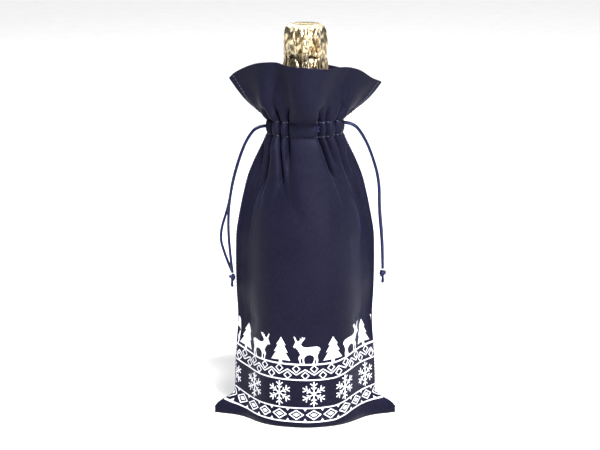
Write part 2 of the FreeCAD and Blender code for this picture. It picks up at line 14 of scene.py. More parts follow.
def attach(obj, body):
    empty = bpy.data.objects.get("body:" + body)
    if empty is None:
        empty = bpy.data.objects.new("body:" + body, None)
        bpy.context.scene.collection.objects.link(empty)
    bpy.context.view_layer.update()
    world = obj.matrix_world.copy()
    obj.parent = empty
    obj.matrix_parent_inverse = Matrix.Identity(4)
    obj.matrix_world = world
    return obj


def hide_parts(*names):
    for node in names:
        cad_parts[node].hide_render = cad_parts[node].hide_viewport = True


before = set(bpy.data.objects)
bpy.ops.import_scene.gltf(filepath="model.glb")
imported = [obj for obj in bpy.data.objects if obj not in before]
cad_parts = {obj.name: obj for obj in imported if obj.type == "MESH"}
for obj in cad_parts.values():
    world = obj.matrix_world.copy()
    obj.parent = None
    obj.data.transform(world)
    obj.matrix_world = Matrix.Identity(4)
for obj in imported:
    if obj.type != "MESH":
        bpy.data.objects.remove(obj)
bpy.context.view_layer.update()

MM = 0.001


# ---------------------------------------------------------------- small tools

def table(xs, ys):
    """A smooth curve through a short table of values."""
    xs = np.array(xs, float)
    ys = np.array(ys, float)
    slopes = np.gradient(ys, xs)

    def at(x):
        x = np.clip(np.asarray(x, float), xs[0], xs[-1])
        i = np.clip(np.searchsorted(xs, x) - 1, 0, len(xs) - 2)
        step = xs[i + 1] - xs[i]
        t = (x - xs[i]) / step
        return (ys[i] * (1 + 2 * t) * (1 - t) ** 2 + slopes[i] * step * t * (1 - t) ** 2
                + ys[i + 1] * t * t * (3 - 2 * t) + slopes[i + 1] * step * t * t * (t - 1))
    return at


def ease(x, low, high):
    t = np.clip((np.asarray(x, float) - low) / (high - low), 0.0, 1.0)
    return t * t * (3 - 2 * t)


def unit(vectors):
    return vectors / np.maximum(np.linalg.norm(vectors, axis=-1, keepdims=True), 1e-9)


def mesh_object(name, points, faces, materials, smooth=True, uv=None):
    """A mesh at the origin, its place in its vertices. uv holds one pair for each vertex."""
    mesh = bpy.data.meshes.new(name)
    mesh.from_pydata((np.asarray(points, float) * MM).tolist(), [], [list(map(int, f)) for f in faces])
    if uv is not None:
        layer = mesh.uv_layers.new(name="flat_cloth")
        corner = np.empty(len(mesh.loops), dtype=np.int32)
        mesh.loops.foreach_get("vertex_index", corner)
        layer.data.foreach_set("uv", (np.asarray(uv, float)[corner] * MM).ravel())
    mesh.polygons.foreach_set("use_smooth", [smooth] * len(mesh.polygons))
    for material in materials:
        mesh.materials.append(material)
    mesh.update()
    made = bpy.data.objects.new(name, mesh)
    bpy.context.scene.collection.objects.link(made)
    return made


def apply_modifiers(made):
    """Leaves the object with its modifiers' result as a plain mesh."""
    bpy.context.view_layer.update()
    seen = made.evaluated_get(bpy.context.evaluated_depsgraph_get())
    result = bpy.data.meshes.new_from_object(seen)
    result.name = made.name
    if made.type == "MESH":
        made.modifiers.clear()
        made.data = result
        return made
    plain = bpy.data.objects.new(made.name + "_mesh", result)
    bpy.context.scene.collection.objects.link(plain)
    return plain


def grid_faces(rows, columns, flip=False, wrap=False):
    across = columns if wrap else columns - 1
    faces = []
    for j in range(rows - 1):
        for i in range(across):
            k = (i + 1) % columns
            quad = (j * columns + i, j * columns + k, (j + 1) * columns + k, (j + 1) * columns + i)
            faces.append(quad[::-1] if flip else quad)
    return faces


# ---------------------------------------------------------------- camera

def place_camera(aim, distance, elevation, lens):
    data = bpy.data.cameras.new("camera")
    data.lens = lens
    data.sensor_width = 36.0
    data.clip_start = 0.05
    data.clip_end = 50.0
    camera = bpy.data.objects.new("camera", data)
    angle = math.radians(elevation)
    aim = Vector(aim)
    camera.location = aim + Vector((0, -math.cos(angle), math.sin(angle))) * distance
    camera.rotation_euler = (aim - camera.location).to_track_quat("-Z", "Y").to_euler()
    bpy.context.scene.collection.objects.link(camera)
    bpy.context.scene.camera = camera


place_camera(aim=(-0.0041, 0.0, 0.1539), distance=2.303, elevation=11.85, lens=173.8)


# ---------------------------------------------------------------- materials

class Finish:
    """A node material built step by step; every constant stays on the shader itself."""

    def __init__(self, name, colour, roughness, metallic=0.0, specular=0.5):
        self.material = bpy.data.materials.new(name)
        self.material.use_nodes = True
        self.tree = self.material.node_tree
        self.shader = self.tree.nodes["Principled BSDF"]
        self.set("Base Color", (*colour, 1))
        self.set("Roughness", roughness)
        self.set("Metallic", metallic)
        self.set("Specular IOR Level", specular)
        self.coordinates = self.tree.nodes.new("ShaderNodeTexCoord")
        self.height = None

    def set(self, socket, value):
        self.shader.inputs[socket].default_value = value
        return self

    def node(self, kind, **settings):
        made = self.tree.nodes.new(kind)
        for key, value in settings.items():
            setattr(made, key, value)
        return made

    def link(self, output, target):
        self.tree.links.new(output, target)

    def place(self, source="Object", scale=(1, 1, 1), turn=(0, 0, 0)):
        mapping = self.node("ShaderNodeMapping")
        mapping.inputs["Scale"].default_value = scale
        mapping.inputs["Rotation"].default_value = turn
        self.link(self.coordinates.outputs[source], mapping.inputs["Vector"])
        return mapping.outputs["Vector"]

    def noise(self, vector, scale, detail=3.0, roughness=0.55):
        made = self.node("ShaderNodeTexNoise")
        made.inputs["Scale"].default_value = scale
        made.inputs["Detail"].default_value = detail
        made.inputs["Roughness"].default_value = roughness
        self.link(vector, made.inputs["Vector"])
        return made.outputs["Fac"]

    def wave(self, vector, scale, direction="X", distortion=0.0):
        made = self.node("ShaderNodeTexWave", wave_type="BANDS", bands_direction=direction)
        made.inputs["Scale"].default_value = scale
        made.inputs["Distortion"].default_value = distortion
        self.link(vector, made.inputs["Vector"])
        return made.outputs["Fac"]

    def ramp(self, factor, stops):
        made = self.node("ShaderNodeValToRGB")
        marks = made.color_ramp.elements
        while len(marks) < len(stops):
            marks.new(0.5)
        for mark, (at, colour) in zip(marks, stops):
            mark.position = at
            mark.color = (*colour, 1) if len(colour) == 3 else colour
        self.link(factor, made.inputs["Fac"])
        return made.outputs["Color"]

    def span(self, factor, low, high, target):
        made = self.node("ShaderNodeMapRange")
        made.inputs["To Min"].default_value = low
        made.inputs["To Max"].default_value = high
        self.link(factor, made.inputs["Value"])
        self.link(made.outputs["Result"], self.shader.inputs[target])
        return self

    def colour(self, output):
        self.link(output, self.shader.inputs["Base Color"])
        return self

    def maths(self, operation, first, second):
        made = self.node("ShaderNodeMath", operation=operation)
        for socket, value in zip(made.inputs, (first, second)):
            if isinstance(value, (int, float)):
                socket.default_value = value
            else:
                self.link(value, socket)
        return made.outputs["Value"]

    def relief(self, factor, distance, strength=1.0):
        """Bumps are chained, the coarsest first."""
        made = self.node("ShaderNodeBump")
        made.inputs["Distance"].default_value = distance
        made.inputs["Strength"].default_value = strength
        self.link(factor, made.inputs["Height"])
        if self.height is not None:
            self.link(self.height, made.inputs["Normal"])
        self.height = made.outputs["Normal"]
        self.link(self.height, self.shader.inputs["Normal"])
        return self


def satin(name, dark, light, roughness):
    """Woven satin: a fine diagonal warp over its weft, slubs along the cloth and faint clouds of crumple."""
    finish = Finish(name, light, roughness, specular=0.045)
    finish.set("Specular Tint", (0.62, 0.64, 1.0, 1))
    finish.set("Sheen Weight", 0.03).set("Sheen Roughness", 0.4).set("Sheen Tint", (0.45, 0.47, 0.95, 1))
    flat = finish.place("UV")
    slub = finish.noise(finish.place("UV", scale=(1.0, 0.25, 1.0)), 1100.0, detail=2.0)
    cloud = finish.noise(flat, 26.0, detail=4.0)
    weave = finish.maths("ADD", finish.maths("MULTIPLY", slub, 0.62), finish.maths("MULTIPLY", cloud, 0.38))
    finish.colour(finish.ramp(weave, [(0.32, dark), (0.68, light)]))
    finish.span(cloud, roughness - 0.07, roughness + 0.07, "Roughness")
    crumple = finish.noise(finish.place("UV", scale=(1.0, 0.55, 1.0)), 70.0, detail=4.0)
    finish.relief(crumple, 0.0010, 0.3)
    warp = finish.wave(finish.place("UV", turn=(0, 0, 0.55)), 420.0, direction="X", distortion=0.8)
    weft = finish.wave(flat, 640.0, direction="Y", distortion=0.5)
    finish.relief(finish.maths("ADD", warp, finish.maths("MULTIPLY", weft, 0.5)), 0.00012, 0.6)
    return finish.material


SATIN = satin("navy_satin", (0.0034, 0.0033, 0.0080), (0.0070, 0.0067, 0.0152), 0.37)
SATIN_INSIDE = satin("navy_satin_reverse", (0.006, 0.0058, 0.017), (0.012, 0.0115, 0.032), 0.58)


def cord_finish():
    finish = Finish("rattail_cord", (0.004, 0.0045, 0.022), 0.32, specular=0.3)
    finish.set("Specular Tint", (0.45, 0.55, 1.0, 1))
    finish.set("Sheen Weight", 0.05).set("Sheen Roughness", 0.35).set("Sheen Tint", (0.3, 0.35, 1.0, 1))
    where = finish.place("Object")
    fibre = finish.noise(finish.place("Object", scale=(1, 1, 0.35)), 2600.0, detail=2.0)
    finish.colour(finish.ramp(fibre, [(0.3, (0.0020, 0.0024, 0.012)), (0.7, (0.0055, 0.0065, 0.034))]))
    finish.span(finish.noise(where, 300.0), 0.28, 0.42, "Roughness")
    finish.relief(fibre, 0.00015, 0.5)
    return finish.material


def thread_finish():
    finish = Finish("sewing_thread", (0.020, 0.019, 0.052), 0.5)
    finish.set("Sheen Weight", 0.3).set("Sheen Roughness", 0.4)
    twist = finish.noise(finish.place("Object"), 3500.0, detail=1.0)
    finish.colour(finish.ramp(twist, [(0.35, (0.012, 0.011, 0.032)), (0.65, (0.034, 0.032, 0.085))]))
    finish.relief(twist, 0.0001, 0.6)
    return finish.material


def ink_finish():
    finish = Finish("screen_print", (0.70, 0.70, 0.77), 0.6, specular=0.3)
    mesh_marks = finish.noise(finish.place("Object"), 1500.0, detail=3.0)
    worn = finish.noise(finish.place("Object"), 130.0, detail=4.0)
    cover = finish.maths("ADD", finish.maths("MULTIPLY", mesh_marks, 0.5), finish.maths("MULTIPLY", worn, 0.5))
    finish.colour(finish.ramp(cover, [(0.3, (0.42, 0.42, 0.48)), (0.62, (0.62, 0.62, 0.67))]))
    finish.span(worn, 0.5, 0.7, "Roughness")
    finish.relief(mesh_marks, 0.00012, 0.5)
    return finish.material


def foil_finish():
    finish = Finish("gold_foil", (0.80, 0.66, 0.42), 0.24, metallic=1.0)
    # The ramp's dark brown end is painted shade: upright streaks darkened to stand for the shade in the foil's
    # creases, not tied to the creases in the mesh. Between its gold stops the foil's own tone varies at random.
    crease_shade_and_tone = finish.noise(finish.place("Object", scale=(1, 1, 0.4)), 240.0, detail=5.0)
    finish.colour(finish.ramp(crease_shade_and_tone, [(0.32, (0.30, 0.18, 0.07)), (0.46, (0.70, 0.55, 0.32)),
                                        (0.72, (0.88, 0.79, 0.58))]))
    finish.span(finish.noise(finish.place("Object"), 260.0), 0.14, 0.34, "Roughness")
    finish.relief(finish.noise(finish.place("Object", scale=(1, 1, 0.35)), 330.0, detail=4.0), 0.0010, 0.8)
    return finish.material


CORD_SATIN = cord_finish()
THREAD = thread_finish()
INK = ink_finish()
FOIL = foil_finish()


# ---------------------------------------------------------------- drawstrings

CORD = 2.2
# Where the corners are measured from: the drawn neck's radius and the wall's half width.
NECK = 29.4
WALL = 54.8
# The cord leaves through a slot in the channel, a little outside the middle of the run inside it.
CHANNEL_RUN = NECK - 2.025
SLOT_GAP = 0.35
EXIT = CHANNEL_RUN + 0.5 * CORD + SLOT_GAP
STRAND_OFFSET = 1.7
# Each side: its sign along X and the height of its exit.
SIDES = {"left": (-1, 234.1), "right": (1, 236.7)}
# Each corner: where it is measured from, how far outside that, and how far below the exit.
ROUTES = {
    ("left", "front"): ((NECK, 8.4, 0), (NECK, 16.2, 9.8), (NECK, 22.0, 23.8), (WALL, 2.9, 46.0),
                        (WALL, 6.2, 67.5), (WALL, 6.2, 93.3), (WALL, 3.1, 118.7)),
    ("left", "back"): ((NECK, 8.4, 0), (NECK, 16.2, 9.8), (NECK, 22.2, 23.8), (WALL, 3.0, 45.0),
                       (WALL, 5.7, 64.0), (WALL, 13.6, 88.0), (WALL, 9.4, 104.5), (WALL, 3.5, 118.7)),
    ("right", "front"): ((NECK, 8.4, 0), (NECK, 16.2, 9.8), (NECK, 22.8, 23.8), (WALL, 3.8, 46.0),
                         (WALL, 3.8, 72.0), (WALL, 6.5, 97.0), (WALL, 6.9, 118.0)),
    ("right", "back"): ((NECK, 8.6, 0), (NECK, 16.6, 10.4), (NECK, 23.2, 25.0), (WALL, 4.2, 46.5),
                        (WALL, 4.4, 70.0), (WALL, 7.0, 95.0), (WALL, 7.2, 118.0)),
}
# Each knot: how far outside the wall and how far below the exit.
KNOTS = {"left": (3.3, 122.6), "right": (6.9, 121.8)}
END_LENGTH = 5.0


def cord_curve(name, points, thickness=CORD):
    """One smooth line of cord; the control points are its route's corners."""
    curve = bpy.data.curves.new(name, "CURVE")
    curve.dimensions = "3D"
    curve.bevel_depth = thickness / 2 * MM
    curve.bevel_resolution = 4
    curve.resolution_u = 14
    curve.use_fill_caps = True
    spline = curve.splines.new("NURBS")
    spline.points.add(len(points) - 1)
    for point, place in zip(spline.points, points):
        point.co = (*[value * MM for value in place], 1.0)
    spline.order_u = 3
    spline.use_endpoint_u = True
    curve.materials.append(CORD_SATIN)
    made = bpy.data.objects.new(name, curve)
    bpy.context.scene.collection.objects.link(made)
    return made


def tube(points, radius, sides=12, closed=False, taper=None):
    """Points and faces of a round tube along a list of places, closed at its ends."""
    points = np.asarray(points, float)
    count = len(points)
    ahead = np.roll(points, -1, 0) - np.roll(points, 1, 0)
    if not closed:
        ahead[0] = points[1] - points[0]
        ahead[-1] = points[-1] - points[-2]
    ahead = unit(ahead)
    across = np.zeros_like(points)
    start = np.cross(ahead[0], (0.3, 1.0, 0.2))
    across[0] = start / np.linalg.norm(start)
    for i in range(1, count):
        turned = across[i - 1] - ahead[i] * np.dot(across[i - 1], ahead[i])
        across[i] = turned / np.linalg.norm(turned)
    other = np.cross(ahead, across)
    angles = np.arange(sides) / sides * 2 * math.pi
    widths = np.full(count, radius) if taper is None else radius * np.asarray(taper)
    ring = (points[:, None] + widths[:, None, None] * (np.cos(angles)[None, :, None] * across[:, None]
                                                       + np.sin(angles)[None, :, None] * other[:, None]))
    vertices = ring.reshape(-1, 3)
    faces = grid_faces(count, sides, wrap=True)
    if closed:
        last = (count - 1) * sides
        # The last ring meets the first where it is turned least.
        turn = int(np.argmin([np.linalg.norm(np.roll(ring[0], -k, 0) - ring[-1]) for k in range(sides)]))
        for i in range(sides):
            k = (i + 1) % sides
            faces.append((last + i, last + k, (k + turn) % sides, (i + turn) % sides))
    else:
        faces.append(tuple(range(sides))[::-1])
        faces.append(tuple(range((count - 1) * sides, count * sides)))
    return vertices, faces


def join_parts(parts):
    points, faces, start = [], [], 0
    for part_points, part_faces in parts:
        points.append(part_points)
        faces.extend([tuple(i + start for i in face) for face in part_faces])
        start += len(part_points)
    return np.vstack(points), faces


def overhand_knot(name, centre, side):
    """Both strands tied together: two bights pulled tight round each other and a wrap across them."""
    cx, cz = centre
    t = np.linspace(0, 2 * math.pi, 96, endpoint=False)
    # A trefoil, flattened and drawn out to the knot's size.
    loop = np.stack([np.sin(t) + 1.55 * np.sin(2 * t),
                     -1.25 * np.sin(3 * t),
                     np.cos(t) - 1.55 * np.cos(2 * t)], 1)
    loop = loop / np.abs(loop).max(0) * (1.75, 1.35, 2.35)
    tilt = 0.35 * side
    turn = np.array([[math.cos(tilt), 0, math.sin(tilt)], [0, 1, 0], [-math.sin(tilt), 0, math.cos(tilt)]])
    parts = [tube((loop @ turn.T) + (cx, 0, cz), 0.98, sides=14, closed=True)]
    wrap = np.stack([1.85 * np.cos(t), 1.75 * np.sin(t), 0.5 * np.cos(t) * side + 0.35 * np.sin(2 * t)], 1)
    parts.append(tube(wrap + (cx, 0, cz + 0.2), 0.85, sides=14, closed=True))
    points, faces = join_parts(parts)
    return mesh_object(name, points, faces, [CORD_SATIN])


def cord_ends(name, centre, side):
    """The two short cut ends under the knot, a little frayed where they were cut."""
    cx, cz = centre
    parts = []
    for front in (-1, 1):
        top = np.array((cx + 0.2 * side, front * 0.9, cz - 2.2))
        steps = np.linspace(0, 1, 12)
        bow = np.stack([top[0] + side * (0.35 * steps ** 2) * front,
                        top[1] + front * 0.35 * steps,
                        top[2] - (END_LENGTH + 0.6) * steps], 1)
        taper = np.interp(steps, [0, 0.75, 0.93, 1], [0.86, 1.0, 0.96, 0.62])
        parts.append(tube(bow, CORD / 2, sides=14, taper=taper))
    points, faces = join_parts(parts)
    return mesh_object(name, points, faces, [CORD_SATIN])


for side, (sign, exit_height) in SIDES.items():
    out, drop = KNOTS[side]
    centre = (sign * (WALL + out), exit_height - drop)
    knot = overhand_knot(side + "_overhand_knot", centre, sign)
    ends = cord_ends(side + "_cut_ends", centre, sign)
    for piece, node in ((knot, side + "_knot"), (ends, side + "_cord_ends")):
        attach(piece, side + "_drawstring")
        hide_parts(node)
    for lie in ("front", "back"):
        y = STRAND_OFFSET * (-1 if lie == "front" else 1)
        places = [(sign * EXIT, y, exit_height)]
        places += [(sign * (start + out), y, exit_height - drop) for start, out, drop in ROUTES[side, lie]]
        strand = cord_curve(side + "_" + lie + "_cord", places)
        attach(strand, side + "_drawstring")
        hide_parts(side + "_" + lie + "_strand")


# ---------------------------------------------------------------- the cloth's shape

# The panel laid flat, from its middle to a side seam, and the columns of its grid.
HALF_FLAT = 75.0
COLUMNS = 169
CLOTH = 0.45
# The cloth lies on the floor at this height, under the base.
SOLE = 0.15
BRIM_TOP = 24.0
# The channel's two rows of stitches.
CHANNEL_LOW = 229.7
CHANNEL_HIGH = 241.1
# The turned-over top edge, as the radius of its fold.
EDGE_FOLD = 0.6

# Half width to the side seams and half depth of the wrapped wall, up the bag.
wall_width = table([24, 42, 58, 79, 104, 136, 150, 165, 181, 197, 205, 216, 223, 229.7],
                   [56.2, 55.7, 54.9, 53.9, 54.9, 55.3, 54.9, 52.5, 49.0, 44.5, 41.2, 36.0, 32.6, 29.9])
wall_depth = table([24, 80, 130, 150, 165, 181, 197, 210, 222, 229.7],
                   [45.6, 45.2, 45.0, 44.6, 43.0, 40.3, 37.0, 34.2, 31.4, 29.7])


def section(width, depth, share):
    """A panel wrapped round the bottle: straight from each side seam, then round the front.

    share runs from 0 to 1 along it. Also returns the length from seam to seam.
    """
    width = max(width, depth + 0.01)
    lean = math.acos(depth / width)
    straight = math.sqrt(width * width - depth * depth)
    total = 2 * straight + depth * (math.pi - 2 * lean)
    run = np.asarray(share) * total
    angle = lean + (run - straight) / depth
    x = -depth * np.cos(angle)
    y = -depth * np.sin(angle)
    left = run < straight
    part = np.clip(run / straight, 0, 1)
    x = np.where(left, -width + part * (width - depth * math.cos(lean)), x)
    y = np.where(left, -part * depth * math.sin(lean), y)
    right = run > total - straight
    part = np.clip((total - run) / straight, 0, 1)
    x = np.where(right, width - part * (width - depth * math.cos(lean)), x)
    y = np.where(right, -part * depth * math.sin(lean), y)
    return x, y, total


# Gathers: flat place, share of the spare cloth and half width at the channel, at z 200 and at z 155.
FRONT_GATHERS = (
    ((-65, -66, -69), (0.9, 0.5, 0.4), (7, 9, 12)),
    ((-48.5, -52, -60), (1.25, 1.0, 1.2), (9, 12, 17)),
    ((-31, -25.5, -20), (1.15, 1.9, 0.7), (8, 10.5, 15)),
    ((-16.5, -14, -9), (0.75, 0.15, 0.05), (6, 9, 14)),
    ((15, 31, 60), (1.05, 2.3, 2.0), (8, 14, 20)),
    ((27.5, 44, 68), (0.7, 0.3, 0.1), (6, 9, 13)),
    ((44, 57, 71), (1.2, 0.6, 0.1), (9, 11, 12)),
    ((62.5, 68, 72), (0.95, 0.4, 0.3), (7.5, 9, 11)),
)
BACK_GATHERS = (
    ((-63, -66, -70), (1.0, 0.6, 0.4), (8, 10, 13)),
    ((-44, -54, -66), (1.2, 1.0, 1.1), (9, 12, 16)),
    ((-29, -37, -52), (0.8, 1.2, 0.9), (6.5, 11, 16)),
    ((-9, -11, -14), (1.1, 0.6, 0.2), (8.5, 11, 14)),
    ((9, 9, 8), (0.7, 0.6, 0.15), (6, 10, 15)),
    ((28, 28, 30), (1.15, 0.8, 0.6), (8.5, 11, 14)),
    ((46, 50, 56), (1.1, 1.1, 1.2), (8.5, 12, 16)),
    ((64, 66, 69), (0.95, 0.7, 0.5), (7.5, 9, 12)),
)

# Long valleys in the ruffle: flat place at the channel and at the edge, half width and depth.
FRONT_VALLEYS = (
    (-38, -29, 5.5, 3.4), (-57, -60, 7.0, 1.6), (42, 38, 6.5, 4.4), (12, 9, 9.0, 1.3), (60, 64, 6.0, 1.0),
)
BACK_VALLEYS = ((-36, -27, 6.0, 3.4), (6, 4, 8.0, 2.4), (38, 33, 6.5, 3.2))
# The gathers at the channel: how much deeper than the slack alone would lay them, and how far the crowns
# between them puff out.
CRISP = 1.35
PUFF = 1.3

# The ruffle's top edge, along it from the left corner: plan place and height.
FRONT_EDGE = (
    (0.0, -59.8, -0.7, 271.8), (0.03, -57.0, -3.5, 275.0), (0.117, -47.2, -13.0, 282.0),
    (0.25, -31.5, -24.5, 287.6), (0.315, -22.5, -27.5, 287.8), (0.36, -16.5, -32.5, 286.8),
    (0.41, -10.0, -40.0, 286.6), (0.49, 0.0, -44.8, 286.4), (0.575, 12.0, -43.5, 285.0),
    (0.63, 19.5, -38.0, 284.3), (0.69, 26.5, -30.0, 284.4), (0.745, 33.5, -24.5, 283.6),
    (0.82, 42.5, -18.0, 280.7), (0.91, 52.5, -8.5, 273.0), (1.0, 60.0, -0.7, 268.6),
)
BACK_EDGE = (
    (0.0, -58.6, -0.7, 271.5), (0.12, -46.5, -14.0, 274.5), (0.24, -34.0, -26.5, 275.5),
    (0.34, -21.0, -36.5, 276.5), (0.43, -9.0, -38.0, 278.0), (0.52, 3.0, -36.5, 278.5),
    (0.61, 14.5, -42.0, 276.5), (0.70, 26.0, -36.5, 275.0), (0.80, 38.0, -25.0, 273.0),
    (0.89, 48.5, -13.5, 270.5), (1.0, 59.2, -0.7, 267.6),
)
# How steeply the ruffle leaves the channel and how steeply it ends, along the same edge, in degrees above level.
FRONT_PLACES = (0, 0.117, 0.22, 0.29, 0.35, 0.42, 0.5, 0.575, 0.64, 0.70, 0.76, 0.85, 1)
FRONT_LEAVES = (FRONT_PLACES, (30, 30, 36, 60, 72, 34, 20, 30, 70, 74, 44, 34, 30))
FRONT_ENDS = (FRONT_PLACES, (56, 62, 72, 76, 78, 84, 90, 86, 80, 76, 72, 64, 56))
BACK_PLACES = (0, 0.12, 0.24, 0.34, 0.43, 0.52, 0.61, 0.7, 0.8, 0.89, 1)
BACK_LEAVES = (BACK_PLACES, (30, 34, 40, 58, 76, 74, 42, 52, 44, 36, 30))
BACK_ENDS = (BACK_PLACES, (56, 62, 70, 76, 80, 80, 86, 78, 70, 62, 56))

# The brim's lip, from the middle of the front out to an ear: flat place, x, y, height.
LIP = (
    (0, 0, -48.8, 3.4), (10, 9.9, -47.8, 3.4), (20, 19.5, -44.8, 3.4), (30, 28.2, -39.9, 3.4),
    (40, 35.8, -33.0, 3.5), (46, 40.2, -27.2, 3.6), (50, 43.3, -22.4, 3.8), (57, 49.2, -14.8, 4.0),
    (63, 56.4, -9.4, 4.2), (69, 64.6, -5.8, 4.6), (75, 72.6, -1.3, 5.2),
)


def glass_outline():
    """The outside of the bottle's glass: heights going up, and the radius at each."""
    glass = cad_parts["glass_bottle"]
    points = np.array([glass.matrix_world @ corner.co for corner in glass.data.vertices]) / MM
    points = points[np.argsort(-points[:, 2])]
    radii = np.hypot(points[:, 0], points[:, 1])
    outside = radii >= np.maximum.accumulate(radii) - 0.01
    heights, first = np.unique(np.round(points[outside, 2][::-1], 2), return_index=True)
    return heights, radii[outside][::-1][first]


GLASS_HEIGHTS, GLASS_RADII = glass_outline()
# The bottle slides up this far, and the cloth stays this clear of it.
BOTTLE_LIFT = 20.0
CLEAR_OF_GLASS = 0.6


def hump(across):
    """1 at the middle of a fold, falling smoothly to 0 at its sides, where across is -1 and 1."""
    return 0.5 + 0.5 * np.cos(np.pi * across)


def bend(start, first, second, end, t):
    """A cubic curve from start to end, drawn towards first and second."""
    return (start * (1 - t) ** 3 + first * 3 * t * (1 - t) ** 2
            + second * 3 * t * t * (1 - t) + end * t ** 3)


class Panel:
    """One panel of the bag as a grid of places.

    Its rows run from the bottom seam up, over the top edge and down the facing.
    """

    def __init__(self, gathers, valleys, edge, leaves, ends, seed):
        self.gathers = gathers
        self.valleys = valleys
        self.edge = [table([row[0] for row in edge], [row[k] for row in edge]) for k in (1, 2, 3)]
        self.leaves = table(*leaves)
        self.ends = table(*ends)
        self.lip = [table([row[0] for row in LIP], [row[k] for row in LIP]) for k in (1, 2, 3)]
        self.seed = seed
        self.u = np.linspace(-HALF_FLAT, HALF_FLAT, COLUMNS)
        self.build()

    def gather(self, level, spare):
        """Where each column comes along the row, 0 to 1, and how deep it lies in a fold.

        level is 0 at the channel, and 1 and 2 lower down.
        """
        u = self.u
        places = [np.interp(level, (0, 1, 2), row[0]) for row in self.gathers]
        shares = np.array([np.interp(level, (0, 1, 2), row[1]) for row in self.gathers])
        halves = np.array([np.interp(level, (0, 1, 2), row[2]) for row in self.gathers])
        shares = shares / shares.sum()
        rate = np.ones_like(u)
        deep = np.zeros_like(u)
        fine = np.linspace(-1, 1, 81)
        for place, share, half in zip(places, shares, halves):
            steep = min(spare * share / half, 0.93)
            across = (u - place) / half
            rate -= steep * np.where(np.abs(across) < 1, hump(np.clip(across, -1, 1)), 0)
            # The cloth keeps its length, so where it advances less it must lie steeper.
            slope = np.sqrt(1 - (1 - steep * hump(fine)) ** 2) * -np.tanh(fine * half / 1.3)
            pitch = (fine[1] - fine[0]) * half
            depth = np.concatenate([[0], np.cumsum((slope[1:] + slope[:-1]) / 2 * pitch)])
            deep += np.interp(across, fine, depth, left=0, right=0)
        rate = np.maximum(rate, 0.06)
        run = np.concatenate([[0], np.cumsum((rate[1:] + rate[:-1]) / 2)])
        return run / run[-1], deep

    def crown(self, deep):
        """1 on the crown between two gathers, 0 in the gathers and at the side seams."""
        return (1 - deep / max(deep.max(), 0.1)) ** 2 * ease(HALF_FLAT - np.abs(self.u), 0, 12)

    def build(self):
        u = self.u
        plain = (u + HALF_FLAT) / (2 * HALF_FLAT)
        rows, depths, marks = [], [], {}
        length = 2 * HALF_FLAT

        def add(x, y, z, deep, mark=None):
            if mark is not None:
                marks.setdefault(mark, len(rows))
            rows.append(np.stack([x, y, np.broadcast_to(z, x.shape) + 0 * x], 1))
            depths.append(deep)

        # Under the base, from the bottom seam out to the lip.
        side = np.sign(u)
        seam = np.stack([u * 72.5 / HALF_FLAT, np.full_like(u, -0.4), np.full_like(u, SOLE)], 1)
        wobble = 1 + 0.006 * np.sin(u / 9.0 + self.seed) + 0.004 * np.sin(u / 4.1 + 2 * self.seed)
        out, forward, height = (curve(np.abs(u)) for curve in self.lip)
        lip = np.stack([side * out, forward * wobble, height], 1)
        inward = seam[:, :2] - lip[:, :2]
        reach = np.linalg.norm(inward, axis=1)
        inward = inward / np.maximum(reach, 1e-6)[:, None]
        back = np.minimum(3.2, 0.45 * reach)
        still = np.zeros_like(u)
        floor_edge = lip.copy()
        floor_edge[:, :2] += inward * back[:, None]
        floor_edge[:, 2] = SOLE
        for t in np.linspace(0, 1, 9)[:-1]:
            place = seam * (1 - t) + floor_edge * t
            add(*place.T, still, "seam")
        for angle in np.linspace(0, math.pi / 2, 6)[:-1]:
            place = lip.copy()
            place[:, :2] += inward * (back * (1 - math.sin(angle)))[:, None]
            place[:, 2] = SOLE + (lip[:, 2] - SOLE) * (1 - math.cos(angle))
            add(*place.T, still)
        # Up from the lip to the wall.
        wx, wy, total = section(float(wall_width(BRIM_TOP)), float(wall_depth(BRIM_TOP)), plain)
        wall = np.stack([wx, wy, np.full_like(wx, BRIM_TOP)], 1)
        away = wall[:, :2] - lip[:, :2]
        ear = ease(np.abs(u), 52, HALF_FLAT)
        rise = lip + np.stack([0.36 * away[:, 0], 0.4 * away[:, 1], 4.2 + 5.1 * ear], 1)
        hang = np.stack([wall[:, 0] - 0.8 * ear * side, wall[:, 1], wall[:, 2] - 12.5], 1)
        for t in np.linspace(0, 1, 18)[:-1]:
            add(*bend(lip, rise, hang, wall, t).T, still, "lip")
        # The wrapped wall, gathered towards the channel.
        for z in np.concatenate([np.arange(BRIM_TOP, 150, 2.6), np.linspace(150, CHANNEL_LOW, 46)[:-1]]):
            width, depth = float(wall_width(z)), float(wall_depth(z))
            total = section(width, depth, plain)[2]
            spare = max(length - total, 0.0) + 1.2 * float(ease(z, 90, 150))
            level = float(np.interp(z, (155, 200, CHANNEL_LOW), (2, 1, 0)))
            share, deep = self.gather(level, spare)
            x, y, total = section(width, depth, share)
            tuck = 0.9 * (1 - float(ease(z, 60, 185)))
            deep = deep + tuck * np.exp(-((np.abs(u) - 57.0) / 9.0) ** 2)
            full = 1.9 * math.exp(-((z - 222.0) / 9.0) ** 2) + 1.0 * math.exp(-((z - 205.0) / 14.0) ** 2)
            deep = deep - full * self.crown(deep)
            deep = deep * (1 + (CRISP - 1) * float(ease(z, 150, 212)))
            add(x, y, z, deep, "wall")
        # The channel, pinched at its two rows of stitches and full between them.
        for z in np.linspace(CHANNEL_LOW, CHANNEL_HIGH, 15):
            t = (z - CHANNEL_LOW) / (CHANNEL_HIGH - CHANNEL_LOW)
            share, deep = self.gather(0, length - math.pi * NECK)
            full = NECK + 1.1 * math.sin(math.pi * t) ** 0.7 if 0 < t < 1 else NECK
            x, y, total = section(full + 0.02, full, share)
            puff = PUFF * (1 + 0.5 * math.sin(math.pi * t))
            add(x, y, z, CRISP * (deep - puff * self.crown(deep)), "channel")
